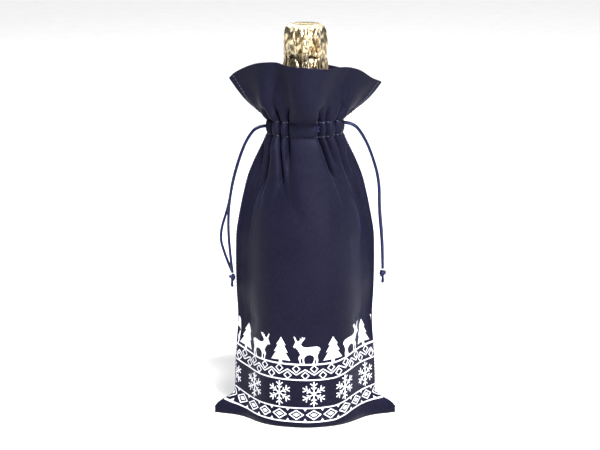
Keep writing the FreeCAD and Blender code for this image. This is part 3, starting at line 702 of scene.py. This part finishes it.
        # The ruffle, from the channel out and up to its edge.
        for t in np.linspace(0, 1, 34)[1:]:
            spare = (length - math.pi * NECK) * (1 - t) ** 1.5
            share, deep = self.gather(0, spare)
            place = self.ruffle(share, t)
            deep = CRISP * (deep - PUFF * self.crown(deep)) * (1 - ease(t, 0.03, 0.36))
            for low, high, half, fold in self.valleys:
                across = (u - (low + (high - low) * t)) / half
                grown = ease(t, 0.05, 0.35) * (1 - 0.8 * ease(t, 0.6, 1.0))
                deep = deep + fold * np.exp(-across ** 2) * grown
            add(*place.T, deep, "ruffle")
        base = np.array(rows)
        deep = np.array(depths)
        out = self.normals(base)
        shaped = base - out * deep[:, :, None]
        shaped = self.soften(shaped, out, marks)
        marks["edge"] = len(rows) - 1
        self.marks = marks
        self.finish_top(shaped)

    def finish_top(self, shaped):
        """Folds the cloth over the top edge and back down the inside as the facing."""
        marks = self.marks
        # Never into the glass, nor into the glass when it is lifted.
        height, radius = shaped[..., 2], np.hypot(shaped[..., 0], shaped[..., 1])
        least = np.interp(height - BOTTLE_LIFT, GLASS_HEIGHTS, GLASS_RADII) + CLEAR_OF_GLASS
        least = np.where(height < CHANNEL_LOW, least, 0)
        least[: marks["lip"]] = 0
        shaped[..., :2] *= np.maximum(1.0, least / np.maximum(radius, 1.0))[..., None]
        out = self.normals(shaped)
        top = shaped[-1]
        tangent = unit(shaped[-1] - shaped[-2])
        turned = []
        for angle in np.linspace(0, math.pi, 7)[1:-1]:
            inwards = out[-1] * EDGE_FOLD * (1 - math.cos(angle))
            turned.append(top - inwards + tangent * EDGE_FOLD * math.sin(angle))
        inside = []
        for j in range(len(shaped) - 1, marks["channel"] - 3, -1):
            if (len(shaped) - 1 - j) % 2 == 0:
                inside.append(shaped[j] - out[j] * (2 * EDGE_FOLD))
        self.places = np.concatenate([shaped, np.array(turned), np.array(inside)])
        self.outer_rows = len(shaped)
        self.flat = self.unrolled()

    def ruffle(self, share, t):
        """The ruffle's places at one level, t running from 0 at the channel to 1 at the edge."""
        angle = np.pi * share
        start = np.stack([-NECK * np.cos(angle), -NECK * np.sin(angle), np.full_like(share, CHANNEL_HIGH)], 1)
        end = np.stack([curve(share) for curve in self.edge], 1)
        ahead = end - start
        across = unit(ahead * (1, 1, 0))
        chord = np.linalg.norm(ahead, axis=1)
        leave = np.radians(self.leaves(share))
        finish = np.radians(self.ends(share))
        up = np.array((0, 0, 1.0))
        leaving = across * np.cos(leave)[:, None] + up * np.sin(leave)[:, None]
        ending = across * np.cos(finish)[:, None] + up * np.sin(finish)[:, None]
        first = start + leaving * (0.42 * chord)[:, None]
        second = end - ending * (0.40 * chord)[:, None]
        return bend(start, first, second, end, t)

    @staticmethod
    def normals(places):
        """The outward direction at every place."""
        along = np.gradient(places, axis=1)
        up = np.gradient(places, axis=0)
        return unit(np.cross(along, up))

    def soften(self, shaped, out, marks):
        """Small slack waves that a limp cloth keeps, none under the base or at the stitches."""
        height = shaped[:, :, 2]
        u = np.broadcast_to(self.u, height.shape)
        k = self.seed
        wave = (0.55 * np.sin(u / 13.0 + 0.9 * np.sin(height / 31.0 + k) + k)
                * np.sin(height / 27.0 + 0.7 * np.sin(u / 17.0) + 2 * k)
                + 0.25 * np.sin(u / 5.3 + height / 19.0 + 3 * k) * np.sin(height / 11.0 - u / 21.0 + k))
        hold = ease(height, 30, 80) * (1 - ease(height, 212, 226)) + ease(height, 246, 262)
        hold = hold * (1 - ease(np.abs(u), 66, 75))
        hold[: marks["wall"]] = 0
        return shaped + out * (wave * hold)[:, :, None]

    def unrolled(self):
        """The flat place of every point: across the cloth, and along it from the bottom seam."""
        middle = self.places[:, COLUMNS // 2]
        steps = np.linalg.norm(np.diff(middle, axis=0), axis=1)
        along = np.concatenate([[0], np.cumsum(np.maximum(steps, 0.05))])
        flat = np.empty((len(self.places), COLUMNS, 2))
        flat[:, :, 0] = self.u + HALF_FLAT
        flat[:, :, 1] = along[:, None]
        self.length = along[-1]
        self.finished_length = along[self.marks["edge"]]
        return flat

    def place_at(self, u, z):
        """The outer surface, and its normal, at a flat place across and a height on the wall or the brim."""
        first, last = self.marks["lip"], self.marks["channel"]
        part = self.places[first:last]
        out = self.normals(self.places[: self.outer_rows])[first:last]
        column = np.clip((np.asarray(u) + HALF_FLAT) / (2 * HALF_FLAT) * (COLUMNS - 1), 0, COLUMNS - 1.001)
        left = column.astype(int)
        mix = (column - left)[:, None]
        found = []
        for values in (part, out):
            sides = []
            for step in (0, 1):
                picked = np.empty((len(left), 3))
                for i in np.unique(left + step):
                    chosen = left + step == i
                    heights = part[:, i, 2]
                    for k in range(3):
                        picked[chosen, k] = np.interp(np.asarray(z)[chosen], heights, values[:, i, k])
                sides.append(picked)
            found.append(sides[0] * (1 - mix) + sides[1] * mix)
        return found[0], unit(found[1])


TURN_ROUND = np.array((1.0, -1.0, 1.0))


def bottle_stand_in():
    """A plain turned shape of the bottle that the cloth settles against; removed afterwards."""
    outline_of_bottle = (
        (0, 3), (40, 3), (44, 8), (44, 125), (40.5, 145), (34, 165), (29, 180),
        (20, 210), (16.6, 228), (16.4, 289), (17.6, 300), (17.4, 310), (10, 315), (0, 315.3),
    )
    angles = np.arange(64) / 64 * 2 * math.pi
    rings = np.array([[(r * math.cos(a), r * math.sin(a), z) for a in angles] for r, z in outline_of_bottle])
    made = mesh_object("settling_bottle", rings.reshape(-1, 3), grid_faces(len(rings), 64, wrap=True), [])
    made.modifiers.new("collision", "COLLISION")
    made.collision.thickness_outer = 0.0008
    made.collision.thickness_inner = 0.004
    made.collision.cloth_friction = 8.0
    return made


def settle(panel, frames=14, furthest=5.0):
    """Lets the panel's free cloth sag and crumple a little between its held seams, stitches and floor."""
    rows = panel.outer_rows
    places = panel.places[:rows]
    made = mesh_object("settling_cloth", places.reshape(-1, 3), grid_faces(rows, COLUMNS), [])
    z = places[:, :, 2]
    u = np.abs(np.broadcast_to(panel.u, z.shape))
    row = np.arange(rows)[:, None]
    channel = (row >= panel.marks["channel"] - 1) & (row <= panel.marks["ruffle"])
    above = row > panel.marks["ruffle"]
    # 1 holds the cloth still and 0 lets it go: still below the top of the print, at the seams and the stitches.
    hold = np.full_like(z, 0.25)
    hold = np.maximum(hold, 1 - ease(z, 84, 110))
    hold = np.maximum(hold, 0.85 * ease(u, 64, HALF_FLAT))
    hold = np.where(above, 0.35 + 0.3 * ease(u, 60, 75), hold)
    hold = np.where(channel, 1.0, hold)
    hold[: panel.marks["wall"]] = 1.0
    hold[:, 0] = hold[:, -1] = 1.0
    group = made.vertex_groups.new(name="held")
    flat = hold.ravel()
    for level in np.unique(np.round(flat, 2)):
        group.add(np.nonzero(np.abs(flat - level) < 0.0051)[0].tolist(), float(level), "REPLACE")
    rule = made.modifiers.new("cloth", "CLOTH")
    cloth = rule.settings
    cloth.quality = 6
    cloth.mass = 0.12
    cloth.air_damping = 3.0
    cloth.tension_stiffness = cloth.compression_stiffness = 18.0
    cloth.shear_stiffness = 4.0
    cloth.bending_stiffness = 0.02
    cloth.tension_damping = cloth.compression_damping = cloth.shear_damping = 8.0
    cloth.vertex_group_mass = "held"
    cloth.pin_stiffness = 0.6
    cloth.shrink_min = cloth.shrink_max = -0.012
    rule.collision_settings.distance_min = 0.0006
    rule.collision_settings.collision_quality = 2
    scene = bpy.context.scene
    rule.point_cache.frame_start, rule.point_cache.frame_end = 1, frames
    for frame_number in range(1, frames + 1):
        scene.frame_set(frame_number)
    seen = made.evaluated_get(bpy.context.evaluated_depsgraph_get())
    moved = np.empty(len(seen.data.vertices) * 3)
    seen.data.vertices.foreach_get("co", moved)
    moved = moved.reshape(rows, COLUMNS, 3) / MM
    step = moved - places
    size = np.linalg.norm(step, axis=2, keepdims=True)
    step *= np.minimum(1.0, furthest / np.maximum(size, 1e-6))
    # Only the broad sag is kept: a weave this soft doesn't hold hair-fine buckles.
    for _ in range(10):
        middle = step[1:-1, 1:-1]
        around = (step[:-2, 1:-1] + step[2:, 1:-1] + step[1:-1, :-2] + step[1:-1, 2:]) / 4
        step[1:-1, 1:-1] = middle + 0.7 * (around - middle) * (hold[1:-1, 1:-1, None] < 0.999)
    bpy.data.objects.remove(made)
    scene.frame_set(1)
    return places + step


front = Panel(FRONT_GATHERS, FRONT_VALLEYS, FRONT_EDGE, FRONT_LEAVES, FRONT_ENDS, seed=0.7)
back = Panel(BACK_GATHERS, BACK_VALLEYS, BACK_EDGE, BACK_LEAVES, BACK_ENDS, seed=2.9)
bottle = bottle_stand_in()
for panel in (front, back):
    panel.finish_top(settle(panel))
bpy.data.objects.remove(bottle)


def sew_panel(name, panel, behind):
    """The panel as cloth with a thickness; its right side is outside, and turns in with the facing."""
    rows = len(panel.places)
    points = panel.places.reshape(-1, 3) * (TURN_ROUND if behind else 1.0)
    faces = grid_faces(rows, COLUMNS, flip=behind)
    made = mesh_object(name, points, faces, [SATIN, SATIN_INSIDE], uv=panel.flat.reshape(-1, 2))
    solid = made.modifiers.new("thickness", "SOLIDIFY")
    solid.thickness = CLOTH * MM
    solid.offset = -1.0
    solid.use_even_offset = False
    solid.material_offset = 1
    solid.material_offset_rim = 0
    made = apply_modifiers(made)
    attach(made, "bag")
    return made


front_cloth = sew_panel("front_cloth", front, behind=False)
back_cloth = sew_panel("back_cloth", back, behind=True)
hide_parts("front_panel", "front_facing")
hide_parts("back_panel", "back_facing")


# ---------------------------------------------------------------- the printed band

# The height of the lowest printed line, and of all four above it.
LOWEST_LINE = 5.2
LINES = (0.0, 10.6, 33.4, 45.9)
LINE_WIDTHS = (0.95, 0.95, 1.1, 1.25)
# Ink stands this far off the cloth, and starts this far above it.
INK_LIFT = 0.12
INK_START = 0.02
# How far apart the motifs are.
RHOMBUS_PITCH = 13.83
SNOWFLAKE_PITCH = 27.7
ZIGZAG_PITCH = 14.1
TREES = (-62.3, -20.1, 23.0, 61.8)
# Each deer: its place and the way it looks. The outermost two of the front run into the side seams.
FRONT_DEER = ((-82.0, 1), (-41.0, -1), (1.2, 1), (43.5, -1), (84.0, 1))
BACK_DEER = FRONT_DEER[1:4]
# How much higher the band hangs towards the side seams than at the middle.
FRONT_SAG = table((-75, -66, -58, -48, -30, -10, 15, 25, 33, 42, 52, 62, 75),
                  (6.6, 4.6, 3.0, 1.5, 0.4, 0, 0, 0.5, 2.2, 4.7, 6.3, 7.2, 7.8))
BACK_SAG = table((-75, -60, -45, -25, 0, 25, 45, 60, 75), (6.6, 4.8, 2.6, 0.7, 0, 0.6, 2.4, 4.6, 7.8))


def stroke(start, end, width):
    """A straight bar between two places."""
    start, end = np.array(start, float), np.array(end, float)
    ahead = (end - start) / np.linalg.norm(end - start)
    across = np.array((-ahead[1], ahead[0])) * width / 2
    return [start + across, start - across, end - across, end + across]


def outline(corners, width):
    """The border of a closed shape, as bars that overlap at its corners."""
    corners = [np.array(corner, float) for corner in corners]
    bars = []
    for start, end in zip(corners, corners[1:] + corners[:1]):
        ahead = (end - start) / np.linalg.norm(end - start) * width * 0.35
        bars.append(stroke(start - ahead, end + ahead, width))
    return bars


def rhombus(x, y, half_width, half_height):
    return [(x - half_width, y), (x, y - half_height), (x + half_width, y), (x, y + half_height)]


def snowflake(x, y):
    """Six arms, each with a short and a long pair of branches."""
    bars = []
    for k in range(6):
        angle = math.radians(90 + 60 * k)
        ahead = np.array((math.cos(angle), math.sin(angle)))
        middle = np.array((x, y), float)
        bars.append(stroke(middle - ahead * 0.2, middle + ahead * 10.0, 0.95))
        for at, reach in ((3.7, 2.6), (6.3, 3.5)):
            for turn in (-52, 52):
                lean = angle + math.radians(turn)
                start = middle + ahead * at
                bars.append(stroke(start, start + np.array((math.cos(lean), math.sin(lean))) * reach, 0.85))
    return bars


def tree(x, y):
    """A fir in three tiers; the outline of its right half is mirrored."""
    half = [(0, 20.8), (4.1, 14.4), (2.5, 14.5), (6.0, 8.7), (4.0, 8.9), (8.4, 2.3), (1.3, 2.7), (1.3, 0)]
    return [[(x + a, y + b) for a, b in half] + [(x - a, y + b) for a, b in half[:0:-1]]]


# A stag looking left, from its antlers forwards and round under its belly.
DEER = (
    (-10.6, 21.9), (-9.4, 21.5), (-8.6, 19.8), (-7.8, 18.3), (-6.1, 18.4), (-5.2, 19.4),
    (-5.4, 20.7), (-4.5, 20.0), (-3.8, 20.3), (-3.9, 21.8), (-2.9, 21.1), (-1.2, 21.5),
    (-2.2, 19.5), (-3.9, 17.6), (-4.7, 16.2), (-4.1, 14.9), (-2.7, 13.8), (0.2, 13.4),
    (3.6, 13.9), (8.0, 14.1), (9.9, 13.4), (11.0, 12.0), (10.6, 10.6), (9.8, 10.4),
    (9.8, 9.2), (8.9, 7.4), (8.6, 5.6), (9.2, 3.4), (8.7, 0.2), (7.4, 0.2),
    (7.5, 2.9), (7.0, 4.6), (6.4, 2.6), (6.0, 0.2), (4.5, 0.2), (5.7, 3.0),
    (6.0, 5.2), (5.0, 6.8), (2.8, 7.6), (0.4, 7.3), (-1.1, 6.4), (-2.0, 5.0),
    (-2.2, 3.4), (-1.7, 0.2), (-3.1, 0.2), (-3.1, 2.4), (-3.5, 4.5), (-4.7, 4.3),
    (-5.0, 3.5), (-4.7, 1.7), (-4.0, 0.2), (-5.3, 0.2), (-5.8, 2.2), (-6.6, 4.7),
    (-6.2, 5.9), (-4.9, 7.6), (-5.5, 8.7), (-6.6, 10.6), (-7.8, 12.0), (-8.8, 13.1),
    (-9.9, 12.8), (-10.9, 13.6), (-10.1, 15.2), (-9.3, 16.9), (-9.0, 17.7), (-9.7, 19.5),
)


def deer(x, y, facing):
    """facing is 1 for a deer looking left and -1 for one looking right."""
    return [[(x + facing * a, y + b) for a, b in DEER]]


def inked(polygons, clip=HALF_FLAT - 0.5, spacing=1.8):
    """The union of flat polygons as triangles small enough to follow the cloth: points and faces."""
    vertices, faces = [], []
    for polygon in polygons:
        polygon = [np.clip(np.array(corner, float), (-clip, -5), (clip, 200)) for corner in polygon]
        area = sum(a[0] * b[1] - b[0] * a[1] for a, b in zip(polygon, polygon[1:] + polygon[:1])) / 2
        if abs(area) < 0.05:
            continue
        if area < 0:
            polygon = polygon[::-1]
        face = []
        for start, end in zip(polygon, polygon[1:] + polygon[:1]):
            steps = max(1, int(np.ceil(np.linalg.norm(end - start) / spacing)))
            for k in range(steps):
                face.append(len(vertices))
                vertices.append(Vector(start + (end - start) * k / steps))
        faces.append(face)
    if not faces:
        return np.zeros((0, 2)), []
    low = np.min([tuple(v) for v in vertices], 0)
    high = np.max([tuple(v) for v in vertices], 0)
    for j, y in enumerate(np.arange(low[1], high[1], spacing)):
        for x in np.arange(low[0] + (j % 2) * spacing / 2, high[0], spacing):
            vertices.append(Vector((x, y)))
    points, _, triangles, _, _, origins = geometry.delaunay_2d_cdt(vertices, [], faces, 0, 1e-4)
    kept = [triangle for triangle, origin in zip(triangles, origins) if origin]
    used = sorted({i for triangle in kept for i in triangle})
    place = {old: new for new, old in enumerate(used)}
    flat_points = np.array([tuple(points[i]) for i in used])
    return flat_points, [tuple(place[i] for i in triangle) for triangle in kept]


def shell(points, faces, panel, sag):
    """Ink laid on the cloth: the flat shape bent to the panel, with a hair of thickness."""
    heights = LOWEST_LINE + points[:, 1] + sag(points[:, 0])
    base, out = panel.place_at(points[:, 0], heights)
    count = len(points)
    solid = np.vstack([base + out * INK_LIFT, base + out * INK_START])
    closed = list(faces) + [tuple(i + count for i in face[::-1]) for face in faces]
    edges = {}
    for face in faces:
        for a, b in zip(face, face[1:] + face[:1]):
            edges[(a, b)] = True
    for a, b in edges:
        if (b, a) not in edges:
            closed.append((b, a, a + count, b + count))
    return solid, closed


def print_band(panel, sag, prefix, behind, shift):
    """Every motif across one panel, each kind as its own piece. shift moves them all along the panel."""
    motifs = {"lines": [], "rhombi": [], "snowflakes": [], "zigzag": [], "trees": [], "deer": []}
    for height, width in zip(LINES, LINE_WIDTHS):
        motifs["lines"].append([stroke((-HALF_FLAT, height), (HALF_FLAT, height), width)])
    middle = (LINES[0] + LINES[1]) / 2
    for k in range(-6, 7):
        x = -7.0 + shift + RHOMBUS_PITCH * k
        motifs["rhombi"].append(outline(rhombus(x, middle, 5.6, 3.5), 0.8) + [rhombus(x, middle, 2.9, 1.6)])
        beside = x + RHOMBUS_PITCH / 2
        hanging = [(beside - 1.5, LINES[1] - 0.3), (beside, LINES[1] - 2.5), (beside + 1.5, LINES[1] - 0.3)]
        standing = [(beside - 1.5, LINES[0] + 0.3), (beside + 1.5, LINES[0] + 0.3), (beside, LINES[0] + 2.5)]
        motifs["rhombi"].append([hanging, standing])
    for k in range(-3, 4):
        motifs["snowflakes"].append(snowflake(6.8 + shift + SNOWFLAKE_PITCH * k, (LINES[1] + LINES[2]) / 2))
    low, high = LINES[2], LINES[3]
    bars = []
    for k in range(-6, 7):
        x = 7.1 + shift + ZIGZAG_PITCH * k
        bars.append(stroke((x, low + 4.0), (x - ZIGZAG_PITCH / 2, high - 4.0), 0.85))
        bars.append(stroke((x, low + 4.0), (x + ZIGZAG_PITCH / 2, high - 4.0), 0.85))
        motifs["zigzag"].append(outline(rhombus(x, high - 3.6, 2.9, 2.9), 0.75))
        motifs["zigzag"].append(outline(rhombus(x - ZIGZAG_PITCH / 2, low + 3.6, 2.9, 2.9), 0.75))
    motifs["zigzag"].append(bars)
    ground = LINES[3] + 0.4
    for x in TREES:
        motifs["trees"].append(tree(x + shift, ground))
    for x, facing in BACK_DEER if behind else FRONT_DEER:
        motifs["deer"].append(deer(x + shift, ground, facing))
    for kind, groups in motifs.items():
        parts = []
        for group in groups:
            points, faces = inked(group)
            if faces:
                parts.append(shell(points, faces, panel, sag))
        points, faces = join_parts(parts)
        if behind:
            points = points * TURN_ROUND
            faces = [face[::-1] for face in faces]
        piece = mesh_object(prefix + "_printed_" + kind, points, faces, [INK], smooth=False)
        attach(piece, "bag")
        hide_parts(prefix + "_print")


print_band(front, FRONT_SAG, "front", behind=False, shift=0.0)
print_band(back, BACK_SAG, "back", behind=True, shift=4.0)


# ---------------------------------------------------------------- sewing

def stitch_tree():
    """Repeats one stitch along a path: inputs for its pitch, length and thread."""
    tree = bpy.data.node_groups.new("stitches_along_a_seam", "GeometryNodeTree")
    tree.interface.new_socket("Seam", in_out="INPUT", socket_type="NodeSocketGeometry")
    for label, value in (("Pitch", 0.003), ("Stitch length", 0.0021), ("Thread", 0.0006)):
        socket = tree.interface.new_socket(label, in_out="INPUT", socket_type="NodeSocketFloat")
        socket.default_value = value
    tree.interface.new_socket("Thread finish", in_out="INPUT", socket_type="NodeSocketMaterial")
    tree.interface.new_socket("Stitches", in_out="OUTPUT", socket_type="NodeSocketGeometry")
    nodes, links = tree.nodes, tree.links
    given, result = nodes.new("NodeGroupInput"), nodes.new("NodeGroupOutput")
    path = nodes.new("GeometryNodeMeshToCurve")
    spaced = nodes.new("GeometryNodeCurveToPoints")
    spaced.mode = "LENGTH"
    ball = nodes.new("GeometryNodeMeshUVSphere")
    ball.inputs["Segments"].default_value = 8
    ball.inputs["Rings"].default_value = 6
    ball.inputs["Radius"].default_value = 0.5
    size = nodes.new("ShaderNodeCombineXYZ")
    shape = nodes.new("GeometryNodeTransform")
    placed = nodes.new("GeometryNodeInstanceOnPoints")
    real = nodes.new("GeometryNodeRealizeInstances")
    finish = nodes.new("GeometryNodeSetMaterial")
    links.new(given.outputs["Seam"], path.inputs["Mesh"])
    links.new(path.outputs["Curve"], spaced.inputs["Curve"])
    links.new(given.outputs["Pitch"], spaced.inputs["Length"])
    links.new(given.outputs["Thread"], size.inputs["X"])
    links.new(given.outputs["Thread"], size.inputs["Y"])
    links.new(given.outputs["Stitch length"], size.inputs["Z"])
    links.new(ball.outputs["Mesh"], shape.inputs["Geometry"])
    links.new(size.outputs["Vector"], shape.inputs["Scale"])
    links.new(spaced.outputs["Points"], placed.inputs["Points"])
    links.new(spaced.outputs["Rotation"], placed.inputs["Rotation"])
    links.new(shape.outputs["Geometry"], placed.inputs["Instance"])
    links.new(placed.outputs["Instances"], real.inputs["Geometry"])
    links.new(real.outputs["Geometry"], finish.inputs["Geometry"])
    links.new(given.outputs["Thread finish"], finish.inputs["Material"])
    links.new(finish.outputs["Geometry"], result.inputs["Stitches"])
    return tree


STITCHES = stitch_tree()


def sew(name, paths, pitch=3.0, length=2.2, thread=0.55):
    """Stitches along one or more paths, each a list of places on the cloth."""
    points, edges = [], []
    for path in paths:
        start = len(points)
        points.extend((np.asarray(path) * MM).tolist())
        edges.extend([(start + k, start + k + 1) for k in range(len(path) - 1)])
    mesh = bpy.data.meshes.new(name)
    mesh.from_pydata(points, edges, [])
    made = bpy.data.objects.new(name, mesh)
    bpy.context.scene.collection.objects.link(made)
    rule = made.modifiers.new("stitches", "NODES")
    rule.node_group = STITCHES
    wanted = {"Pitch": pitch * MM, "Stitch length": length * MM, "Thread": thread * MM, "Thread finish": THREAD}
    for item in STITCHES.interface.items_tree:
        if item.item_type == "SOCKET" and item.in_out == "INPUT" and item.name in wanted:
            rule[item.identifier] = wanted[item.name]
    made = apply_modifiers(made)
    made.data.polygons.foreach_set("use_smooth", [True] * len(made.data.polygons))
    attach(made, "bag")
    return made


# Stitches lie this far off the cloth.
STITCH_LIFT = 0.12


def row_path(panel, row, behind):
    """A line across the panel along one row of its grid."""
    out = panel.normals(panel.places[: panel.outer_rows])
    path = panel.places[row] + out[row] * STITCH_LIFT
    return path * (TURN_ROUND if behind else 1.0)


def column_path(panel, column, first, last, behind, lift=STITCH_LIFT):
    """A line up the panel along one column of its grid."""
    out = panel.normals(panel.places[: panel.outer_rows])
    path = panel.places[first:last, column] + out[first:last, column] * lift
    return path * (TURN_ROUND if behind else 1.0)


SIDES_OF_BAG = ((front, False), (back, True))
low_row, high_row = front.marks["channel"], front.marks["ruffle"]
for name, row in (("lower_channel_stitches", low_row), ("upper_channel_stitches", high_row - 1)):
    piece = sew(name[:-9] + "_stitch_row", [row_path(panel, row, behind) for panel, behind in SIDES_OF_BAG])
    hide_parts(name)
for side, edge_column, inner_column in (("left", 0, 5), ("right", COLUMNS - 1, COLUMNS - 6)):
    seam = column_path(front, edge_column, front.marks["lip"], front.marks["channel"] - 1, False, lift=0.05)
    piece = sew(side + "_side_seam_stitches", [seam], pitch=2.6, length=2.0, thread=0.5)
    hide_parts(side + "_side_seam_thread")
    hems = [column_path(panel, inner_column, panel.marks["ruffle"] + 1, panel.marks["edge"], behind)
            for panel, behind in SIDES_OF_BAG]
    sew(side + "_ruffle_hem_stitches", hems, pitch=2.8, length=2.1, thread=0.5)
# The bottom seam's thread lies between the two panels, just clear of the floor.
bottom_seam = front.places[0, 3:-3] + (0, 0.4, 0.45)
bottom = sew("bottom_seam_stitches", [bottom_seam], pitch=2.6, length=2.0, thread=0.5)
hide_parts("bottom_seam_thread")


# ---------------------------------------------------------------- the foil hood

def foil_hood():
    """Foil pressed round the neck and cork: pleats, creases, a pinch under the cork and an overlap in front."""
    low, tip = 200.4, 315.6
    widest = 18.1
    radius_at = table([200, 215, 228, 240, 255, 270, 282, 289.5, 296, 304, 310, 313.5, 315.2],
                      [20.6, 18.4, 17.3, 16.4, 16.9, 17.3, 17.1, 16.6, 16.7, 16.6, 15.9, 14.0, 11.5])
    heights = np.concatenate([np.linspace(low, 250, 26)[:-1], np.linspace(250, 311, 62)[:-1],
                              np.linspace(311, 315.2, 8)])
    around = 144
    angles = np.arange(around) / around * 2 * math.pi
    rows = []
    for z in heights:
        radius = np.full(around, float(radius_at(z)))
        rows.append((radius, z))
    for share in (0.82, 0.62, 0.42, 0.24, 0.1):
        rows.append((np.full(around, 11.5 * share), 315.2 + 0.35 * (1 - share)))
    points = []
    for radius, z in rows:
        crown = float(ease(z, 313.0, 315.3))
        ring = []
        for angle, r in zip(angles, radius):
            x, y = math.cos(angle), math.sin(angle)
            pleats = (0.34 * math.cos(11 * angle + 0.9 * math.sin(z / 9.0))
                      + 0.26 * math.cos(19 * angle - 1.3 * math.sin(z / 7.0 + 1))
                      + 0.20 * math.cos(37 * angle + z / 9.0))
            creased = noise.fractal(Vector((x * 4.2, y * 4.2, z / 9.5)), 0.7, 2.0, 4)
            ridged = 0.5 - abs(noise.noise(Vector((x * 7.0 + 7, y * 7.0, z / 10.0)))) * 2.0
            slack = 0.55 + 0.45 * math.sin(5 * angle + 1.0)
            pinch_height = 289.6 + 0.7 * math.sin(3 * angle) + 0.4 * math.sin(7 * angle)
            pinch = -0.62 * slack * math.exp(-((z - pinch_height) / 0.75) ** 2)
            seam_ridge = 0.6 * math.exp(-((angle - math.radians(272.0)) / 0.05) ** 2)
            move = (0.6 * pleats + 0.6 * creased + 0.75 * ridged + pinch + seam_ridge) * (1 - 0.75 * crown)
            lift = 0.35 * creased * (1 - 0.8 * crown) - 0.25 * crown * abs(ridged)
            ring.append((x * (r + move), y * (r + move), z + lift))
        points.extend(ring)
    points = np.array(points)
    faces = grid_faces(len(rows), around, wrap=True)
    points = np.vstack([points, [[0, 0, tip]]])
    last = (len(rows) - 1) * around
    for i in range(around):
        faces.append((last + i, last + (i + 1) % around, len(points) - 1))
    radial = np.linalg.norm(points[:, :2], axis=1)
    keep = np.minimum(1.0, widest / np.maximum(radial, 1e-6))
    points[:, :2] *= keep[:, None]
    points[:, 2] = np.minimum(points[:, 2], tip + 0.1)
    made = mesh_object("crumpled_foil_hood", points, faces, [FOIL])
    solid = made.modifiers.new("thickness", "SOLIDIFY")
    solid.thickness = 0.12 * MM
    solid.offset = -1.0
    made = apply_modifiers(made)
    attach(made, "bottle")
    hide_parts("foil_hood")
    return made


foil_hood()


# ---------------------------------------------------------------- what stays from the frame

def bottle_glass():
    finish = Finish("dark_green_glass", (0.012, 0.050, 0.022), 0.08, specular=0.5)
    finish.set("Coat Weight", 0.4).set("Coat Roughness", 0.04)
    cast = finish.noise(finish.place("Object"), 16.0, detail=3.0)
    finish.colour(finish.ramp(cast, [(0.35, (0.008, 0.034, 0.014)), (0.65, (0.018, 0.066, 0.030))]))
    finish.span(finish.noise(finish.place("Object"), 90.0), 0.05, 0.13, "Roughness")
    finish.relief(cast, 0.0006, 0.2)
    return finish.material


def pale_wine():
    finish = Finish("pale_wine", (0.55, 0.42, 0.12), 0.05)
    depth = finish.noise(finish.place("Object", scale=(1, 1, 0.3)), 12.0)
    finish.colour(finish.ramp(depth, [(0.3, (0.48, 0.35, 0.09)), (0.7, (0.62, 0.50, 0.17))]))
    return finish.material


def pressed_cork():
    finish = Finish("pressed_cork", (0.50, 0.33, 0.18), 0.8, specular=0.25)
    grains = finish.noise(finish.place("Object"), 700.0, detail=4.0)
    finish.colour(finish.ramp(grains, [(0.36, (0.22, 0.12, 0.06)), (0.48, (0.50, 0.33, 0.18)),
                                       (0.7, (0.66, 0.48, 0.30))]))
    finish.relief(grains, 0.0004, 0.7)
    return finish.material


def bare_metal(name, colour, roughness, stretch):
    finish = Finish(name, colour, roughness, metallic=1.0)
    brushed = finish.noise(finish.place("Object", scale=stretch), 900.0, detail=3.0)
    dull = tuple(value * 0.75 for value in colour)
    finish.colour(finish.ramp(brushed, [(0.3, dull), (0.7, colour)]))
    finish.span(brushed, roughness - 0.06, roughness + 0.1, "Roughness")
    finish.relief(brushed, 0.0001, 0.4)
    return finish.material


KEPT_FINISHES = {
    "glass_bottle": bottle_glass(),
    "wine": pale_wine(),
    "cork": pressed_cork(),
    "cork_cap": bare_metal("tinplate_cap", (0.80, 0.66, 0.40), 0.3, (1, 1, 1)),
    "wire_cage": bare_metal("galvanised_wire", (0.62, 0.63, 0.65), 0.35, (1, 1, 0.2)),
    "left_drawstring_channel_run": CORD_SATIN,
    "right_drawstring_channel_run": CORD_SATIN,
}
for node, material in KEPT_FINISHES.items():
    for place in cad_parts[node].material_slots:
        place.material = material


# ---------------------------------------------------------------- studio

def studio():
    paper = Finish("studio_paper", (0.66, 0.66, 0.66), 0.8, specular=0.1)
    grain = paper.noise(paper.place("Object"), 40.0)
    paper.colour(paper.ramp(grain, [(0.3, (0.64, 0.64, 0.64)), (0.7, (0.67, 0.67, 0.67))]))
    reach = 6000
    corners = [(-reach, -reach, 0), (reach, -reach, 0), (reach, reach, 0), (-reach, reach, 0)]
    floor = mesh_object("studio_floor", corners, [(0, 1, 2, 3)], [paper.material], smooth=False)
    world = bpy.data.worlds.new("studio")
    world.use_nodes = True
    background = world.node_tree.nodes["Background"]
    background.inputs["Color"].default_value = (1.0, 1.0, 1.0, 1)
    background.inputs["Strength"].default_value = 0.12
    bpy.context.scene.world = world
    # White paper stays white and dark cloth dark.
    bpy.context.scene.view_settings.view_transform = "Standard"

    def lamp(name, place, aim, width, height, watts):
        data = bpy.data.lights.new(name, "AREA")
        data.shape = "RECTANGLE"
        data.size, data.size_y = width, height
        data.energy = watts
        made = bpy.data.objects.new(name, data)
        made.location = place
        made.rotation_euler = (Vector(aim) - Vector(place)).to_track_quat("-Z", "Y").to_euler()
        bpy.context.scene.collection.objects.link(made)

    lamp("overhead_softbox", (0.0, 2.6, 2.8), (0, 2.4, 0), 4.6, 6.0, 170)
    lamp("high_front_softbox", (0.25, -0.75, 1.5), (0, 0, 0.2), 0.4, 0.3, 84)
    lamp("rear_softbox", (-0.55, 1.3, 1.25), (0, 0, 0.2), 0.5, 0.5, 12)
    lamp("key_softbox", (0.40, -1.6, 0.98), (0, 0, 0.2), 0.2, 0.35, 44)


studio()
